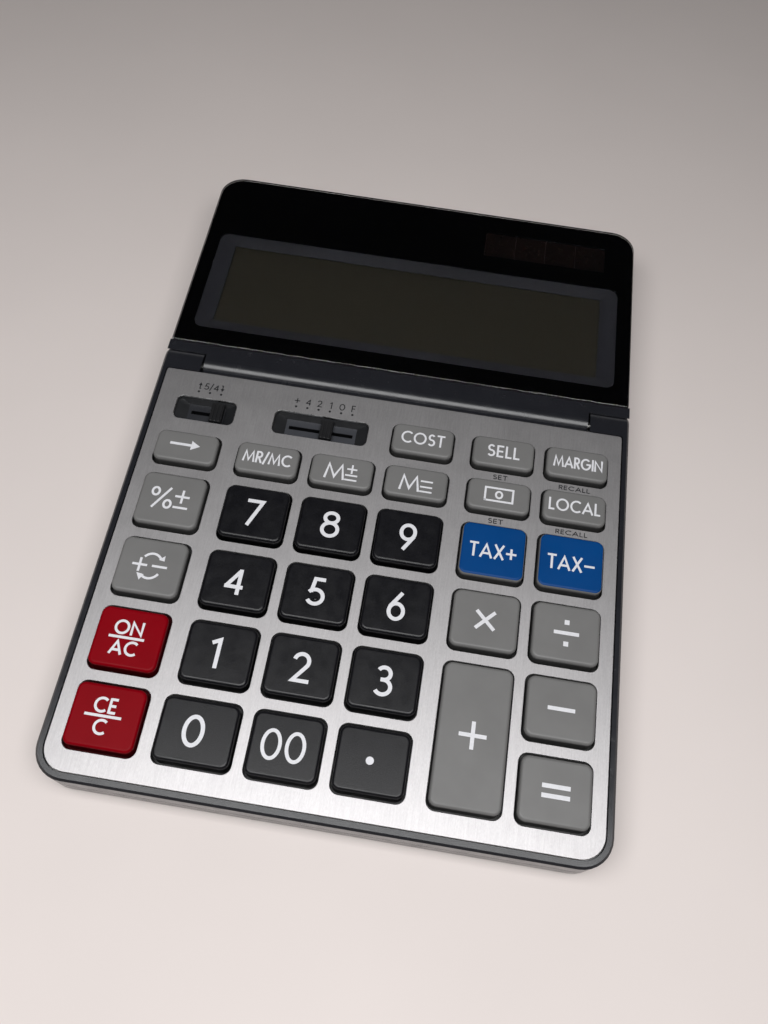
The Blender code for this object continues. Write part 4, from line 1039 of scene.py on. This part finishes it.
# Key, word, height and width of each word over a key, in millimetres
PLATE_WORDS = (
    ("key_currency", "SET", 1.5, 4.2), ("key_local", "RECALL", 1.4, 9.0),
    ("key_tax_add", "SET", 1.5, 4.2), ("key_tax_take", "RECALL", 1.4, 9.0),
)
WORD_STROKE = 0.27 * MM
WORD_RISE = 1.45 * MM

# Marks of each switch and the place of its knob among them
SWITCH_MARKS = (("rounding", ("^", "5/4", "v"), 2), ("decimal", "+4210F", 3))
DOT_RISE = 2.05 * MM
DOT_HEIGHT = 0.72 * MM
MARK_RISE = 4.2 * MM
MARK_HEIGHT = 2.3 * MM
MARK_STROKE = 0.3 * MM


def make_plate_print():
    """The words over the function keys and the marks of the switches."""
    ink = sizes().ink
    mesh = bmesh.new()
    for node, word, height, width in PLATE_WORDS:
        hole = key_hole(node)
        write_word(mesh, word, hole.x, hole.rear + WORD_RISE, height * MM, WORD_STROKE,
                   -ink, ink, width * MM)
    for name, marks, rest in SWITCH_MARKS:
        rear = switch_span(name).rear
        knob = Span(points_of(f"{name}_switch_knob", DECK))
        for index, mark in enumerate(marks):
            x = knob.x + (index - rest) * SWITCH_STEP
            write_word(mesh, ".", x, rear + DOT_RISE, DOT_HEIGHT, MARK_STROKE, -ink, ink)
            write_word(mesh, mark, x, rear + MARK_RISE, MARK_HEIGHT, MARK_STROKE, -ink, ink)
    return new_piece("plate_print", mesh, DECK, body_of("faceplate"), MATERIALS["plate_ink"], False)


def make_knob(name):
    """A switch knob with finger ridges across it."""
    node = f"{name}_switch_knob"
    points = points_of(node, DECK)
    levels = levels_of(points)
    whole = Span(points)
    crown = span_at(points, levels[-2])
    foot = span_at(points, levels[1])
    leg = span_at(points, levels[0])
    leg.front, leg.rear = leg.y - SLIT / 4, leg.y + SLIT / 4
    edge = KNOB_EDGE
    mesh = bmesh.new()
    add_loft(mesh, [
        (grown(leg, 0, 0, edge), levels[0]), (grown(leg, 0, 0, edge), levels[1]),
        (grown(foot, 0, 0, edge), levels[1]), (grown(crown, 0, 0, edge), levels[2]),
        (grown(crown, 0, 0, edge), levels[-2] - edge),
        (grown(crown, -edge / 2, -edge / 2, edge), levels[-2])])
    for place in (-1, 0, 1):
        x = whole.x + place * crown.width * RIDGE_PITCH_SHARE
        ridge = flat_span(x - KNOB_RIDGE, x + KNOB_RIDGE, crown.front + edge, crown.rear - edge)
        add_loft(mesh, [(grown(ridge, 0, 0, edge), levels[-2] - edge),
                        (grown(ridge, -edge / 2, 0, edge), levels[-1] - edge / 3),
                        (grown(ridge, -edge * 0.9, -edge / 2, edge / 2), levels[-1])])
    piece = new_piece(f"ridged_{name}_knob", mesh, DECK, body_of(node), MATERIALS["switch"], False)
    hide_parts(node)
    return piece


def make_slide_floor(name):
    """The floor of a switch recess, with the slit that the leg of the knob runs in."""
    points = points_of(f"{name}_switch_frame", DECK)
    levels = levels_of(points)
    floor = span_at(points, levels[1])
    inner = [point for point in points if abs(point.z - levels[0]) < LEVEL_TOLERANCE
             and floor.left < point.x < floor.right]
    slit = Span(inner)
    slit.front, slit.rear = slit.y - SLIT / 2, slit.y + SLIT / 2
    high, low = levels[1] + sizes().ink, levels[1] - SLIT / 4
    loops = [grown(floor, 0, 0, SLIT / 8), grown(slit, 0, 0, SLIT / 8)]
    mesh = bmesh.new()
    add_sheet(mesh, loops, low, high)
    # Each floor's colour holds painted light and shade: the decimal floor is painted lit, the rounding
    # floor painted shaded
    return new_piece(f"{name}_slide_floor", mesh, DECK, body_of(f"{name}_switch_frame"),
                     MATERIALS[f"{name}_floor"])


def make_contact_pad(name):
    """Carbon pad on the board, on which the wiper of a switch slides."""
    mesh = bmesh.new()
    outline = grown(switch_span(name), -PAD_INSET, -PAD_INSET, PAD_INSET)
    level = levels_of(points_of("main_board", DECK))[-1]
    add_loft(mesh, [(outline, level), (outline, level + sizes().ink)])
    return new_piece(f"{name}_contact_pad", mesh, DECK, body_of("main_board"), MATERIALS["carbon"])


def make_pane():
    """The clear pane with polished edges, and the black print under it."""
    ink = sizes().ink
    window = Span(points_of("display_window", DISPLAY))
    lcd = Span(points_of("lcd_frame", DISPLAY))
    cell = Span(points_of("solar_cell", DISPLAY))
    radius, seam, polish = PANE_CORNER, PANE_SEAM_CORNER, PANE_POLISH
    mesh = bmesh.new()
    add_loft(mesh, [
        (grown(window, -polish / 2, -polish / 2, seam, radius - polish / 2), window.low),
        (grown(window, 0, 0, seam, radius), window.low + polish),
        (grown(window, 0, 0, seam, radius), window.high - polish),
        (grown(window, -polish / 3, -polish / 3, seam, radius - polish / 3),
         window.high - polish / 3),
        (grown(window, -polish, -polish, seam, radius - polish), window.high)])
    pane = new_piece("clear_pane", mesh, DISPLAY, body_of("display_window"), MATERIALS["pane"])
    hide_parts("display_window")

    outlines = [grown(window, -polish, -polish, seam, radius - polish),
                grown(lcd, 0, 0, LCD_HOLE_CORNER), grown(cell, 0, 0, CELL_HOLE_CORNER)]
    sheet = bmesh.new()
    add_sheet(sheet, outlines, window.low + ink, window.low + ink * 2)
    new_piece("pane_print", sheet, DISPLAY, body_of("display_window"), MATERIALS["pane_print"])
    return pane


def make_solar_cell():
    """The solar cell: a dark film cut into strips."""
    cell = Span(points_of("solar_cell", DISPLAY))
    gap = CELL_GAP
    pitch = cell.width / CELL_STRIPS
    mesh = bmesh.new()
    base = grown(cell, 0, 0, gap)
    add_loft(mesh, [(base, cell.low), (base, cell.high - gap)])
    for index in range(CELL_STRIPS):
        left = cell.left + index * pitch + gap / 2
        strip = flat_span(left, left + pitch - gap, cell.front + gap, cell.rear - gap)
        outline = grown(strip, 0, 0, gap / 2)
        add_loft(mesh, [(outline, cell.high - gap), (outline, cell.high)])
    piece = new_piece("solar_strips", mesh, DISPLAY, body_of("solar_cell"), MATERIALS["solar"], False)
    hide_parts("solar_cell")
    return piece


def make_screw(node):
    """A case screw with a cross recess."""
    whole = Span(points_of(node, DECK))
    mesh = bmesh.new()
    mesh.from_mesh(NODES[node].data)
    bmesh.ops.remove_doubles(mesh, verts=mesh.verts, dist=WELD_DISTANCE)
    piece = new_piece(f"cross_{node}", mesh, Matrix.Identity(4), body_of(node),
                      MATERIALS["steel"], False)
    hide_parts(node)
    cutter = bmesh.new()
    arm, half = whole.width * CROSS_ARM_SHARE, whole.width * CROSS_HALF_SHARE
    for across, along in ((arm, half), (half, arm)):
        slot = flat_span(whole.x - across, whole.x + across, whole.y - along, whole.y + along)
        outline = grown(slot, 0, 0, half * CROSS_CORNER_SHARE)
        add_loft(cutter, [(outline, whole.low - CROSS_DEPTH), (outline, whole.low + CROSS_DEPTH)])
    tool = placed(f"cutter_of_{node}", finished_data("cross_cutter", cutter))
    tool.matrix_world = DECK
    cut = piece.modifiers.new("cross", 'BOOLEAN')
    cut.operation = 'DIFFERENCE'
    cut.use_self = True
    cut.object = tool
    apply_modifiers(piece)
    bpy.data.objects.remove(tool)
    return piece


def apply_modifiers(piece):
    """Make the shape that the modifiers give the piece's own mesh."""
    bpy.context.view_layer.update()
    made = piece.evaluated_get(bpy.context.evaluated_depsgraph_get())
    shape = bpy.data.meshes.new_from_object(made)
    piece.modifiers.clear()
    piece.data = shape


# Operators
class CALCULATOR_OT_materials(bpy.types.Operator):
    """Make every finish"""

    bl_idname = "calculator.materials"
    bl_label = "Finishes"

    def execute(self, context):
        make_materials()
        return {'FINISHED'}


class CALCULATOR_OT_faceplate(bpy.types.Operator):
    """Make the brushed faceplate and what is printed on it"""

    bl_idname = "calculator.faceplate"
    bl_label = "Faceplate"

    def execute(self, context):
        make_faceplate()
        make_plate_print()
        return {'FINISHED'}


class CALCULATOR_OT_keys(bpy.types.Operator):
    """Make the key caps and their signs"""

    bl_idname = "calculator.keys"
    bl_label = "Keys"

    def execute(self, context):
        for node in KEY_NODES:
            make_keycap(node)
            make_legend(node)
        for node in BLUE_KEYS:
            make_blue_face(node)
        make_touch_pip()
        return {'FINISHED'}


class CALCULATOR_OT_switches(bpy.types.Operator):
    """Make the switch knobs and finish their frames"""

    bl_idname = "calculator.switches"
    bl_label = "Switches"

    def execute(self, context):
        for name in SWITCHES:
            make_knob(name)
            make_slide_floor(name)
            make_contact_pad(name)
            dress_node(f"{name}_switch_frame", MATERIALS["recess"])
        return {'FINISHED'}


class CALCULATOR_OT_case(bpy.types.Operator):
    """Make the fine shells of the case"""

    bl_idname = "calculator.case"
    bl_label = "Case"

    def execute(self, context):
        edge = sizes().case_edge
        for node in ("upper_case", "lower_case", "battery_door"):
            refined_copy(node, f"fine_{node}", MATERIALS["case"], edge)
        for corner in ("front_left", "front_right", "rear_left", "rear_right"):
            refined_copy(f"rubber_foot_{corner}", f"fine_foot_{corner}", MATERIALS["foot"], edge)
            make_screw(f"case_screw_{corner}")
        return {'FINISHED'}


class CALCULATOR_OT_display(bpy.types.Operator):
    """Make the display housing, its pane and what lies behind it"""

    bl_idname = "calculator.display"
    bl_label = "Display"

    def execute(self, context):
        edge = sizes().case_edge
        for node in ("display_housing", "display_back"):
            refined_copy(node, f"fine_{node}", MATERIALS["case"], edge)
        refined_copy("lcd_frame", "fine_lcd_frame", MATERIALS["lcd_frame"], edge / 3)
        make_pane()
        make_solar_cell()
        dress_node("lcd_glass", MATERIALS["lcd_glass"])
        return {'FINISHED'}


class CALCULATOR_OT_inside(bpy.types.Operator):
    """Finish the pieces inside the case"""

    bl_idname = "calculator.inside"
    bl_label = "Inside"

    def execute(self, context):
        for node, material in (
            ("key_mat", "mat"), ("main_board", "board"), ("lcd_board", "board"),
            ("button_cell", "steel"), ("hinge_pin_left", "steel"), ("hinge_pin_right", "steel"),
        ):
            dress_node(node, MATERIALS[material])
        return {'FINISHED'}


# Studio: turns in degrees, the lens in millimetres
CAMERA_PLACE = (0.01155839, -0.13853314, 0.23537327)
CAMERA_TURN = (28.926036, -2.651472, 8.793965)
CAMERA_LENS = 31.1484
CAMERA_NEAR = 0.01
BOWL_FLAT = 1.0
BOWL_FLAT_SHARES = (0.02, 0.2, 0.5, 1)
BOWL_RADIUS = 0.75
BOWL_HEIGHT = 0.75
WORLD_TINT = (0.9, 0.95, 1, 1)
WORLD_STRENGTH = 0.01

# Name, place, turn, width, depth and brightness of each soft lamp
LAMPS = (
    ("key", (0.0, -0.185, 0.47), (0, 0, 0), 0.56, 0.27, 6.5),
    ("fill", (0, -0.75, 1.5), (0, 0, 0), 2.6, 2.0, 0.10),
    ("back", (0, 1.1, 0.42), (-75, 0, 0), 1.6, 0.5, 0.4),
)


def make_bowl():
    """A floor that sweeps up all round."""
    mesh = bmesh.new()
    profile = [(BOWL_FLAT * share, 0) for share in BOWL_FLAT_SHARES]
    for step in range(1, BOWL_STEPS + 1):
        turn = step / BOWL_STEPS * pi / 2
        profile.append((BOWL_FLAT + BOWL_RADIUS * sin(turn), BOWL_HEIGHT * (1 - cos(turn))))
    loops = add_band(mesh, [(circle(0, 0, radius, BOWL_SIDES), height)
                            for radius, height in profile])
    mesh.faces.new(loops[0])
    data = finished_data("studio_floor", mesh)
    data.shade_smooth()
    finish = Finish("studio_floor", colours().floor, 0.7)
    finish.vary_colour(finish.noise(14, 3), 0.985, 1.015)
    data.materials.append(finish.material)
    floor = placed("studio_floor", data)


def add_softbox(name, place, turn, width, depth, radiance):
    """A soft rectangular lamp, given by the brightness of its face."""
    light = bpy.data.lights.new(name, 'AREA')
    light.shape = 'RECTANGLE'
    light.size = width
    light.size_y = depth
    light.energy = radiance * width * depth * pi
    lamp = placed(name, light)
    lamp.location = place
    lamp.rotation_euler = [radians(angle) for angle in turn]
    lamp.visible_camera = False


def add_world(scene):
    """A faint even light from all round."""
    world = bpy.data.worlds.new("studio")
    world.use_nodes = True
    background = world.node_tree.nodes["Background"]
    background.inputs["Color"].default_value = WORLD_TINT
    background.inputs["Strength"].default_value = WORLD_STRENGTH
    scene.world = world


def add_camera(scene):
    """The camera, where the photograph's stood."""
    view = bpy.data.cameras.new("photograph")
    view.lens = CAMERA_LENS
    view.clip_start = CAMERA_NEAR
    camera = placed("photograph", view)
    camera.location = CAMERA_PLACE
    camera.rotation_euler = [radians(angle) for angle in CAMERA_TURN]
    scene.camera = camera


class CALCULATOR_OT_studio(bpy.types.Operator):
    """Make the floor, the lights and the camera"""

    bl_idname = "calculator.studio"
    bl_label = "Studio"

    def execute(self, context):
        make_bowl()
        for lamp in LAMPS:
            add_softbox(*lamp)
        add_world(context.scene)
        add_camera(context.scene)
        context.scene.view_settings.view_transform = 'Standard'
        return {'FINISHED'}


STEPS = (
    CALCULATOR_OT_materials, CALCULATOR_OT_faceplate, CALCULATOR_OT_keys,
    CALCULATOR_OT_switches, CALCULATOR_OT_case, CALCULATOR_OT_display,
    CALCULATOR_OT_inside, CALCULATOR_OT_studio,
)


class CALCULATOR_PT_panel(bpy.types.Panel):
    """Sizes, colours and steps of the calculator"""

    bl_idname = "CALCULATOR_PT_panel"
    bl_label = "Calculator"
    bl_space_type = 'VIEW_3D'
    bl_region_type = 'UI'
    bl_category = "Calculator"

    def draw(self, context):
        layout = self.layout
        for step in STEPS:
            layout.operator(step.bl_idname)
        for group in (context.scene.calculator_sizes, context.scene.calculator_colours):
            box = layout.box()
            for name in group.__annotations__:
                box.prop(group, name)


CLASSES = (CalculatorSizes, CalculatorColours, *STEPS, CALCULATOR_PT_panel)


def register():
    """Register the classes and hang the two groups on the scene."""
    for part in CLASSES:
        bpy.utils.register_class(part)
    bpy.types.Scene.calculator_sizes = PointerProperty(type=CalculatorSizes)
    bpy.types.Scene.calculator_colours = PointerProperty(type=CalculatorColours)


def unregister():
    """Undo what register does."""
    del bpy.types.Scene.calculator_colours
    del bpy.types.Scene.calculator_sizes
    for part in reversed(CLASSES):
        bpy.utils.unregister_class(part)


def main():
    """Register the classes and the two groups, and make everything in order."""
    register()
    for step in STEPS:
        group, name = step.bl_idname.split(".")
        getattr(getattr(bpy.ops, group), name)()


if __name__ == "__main__":
    main()
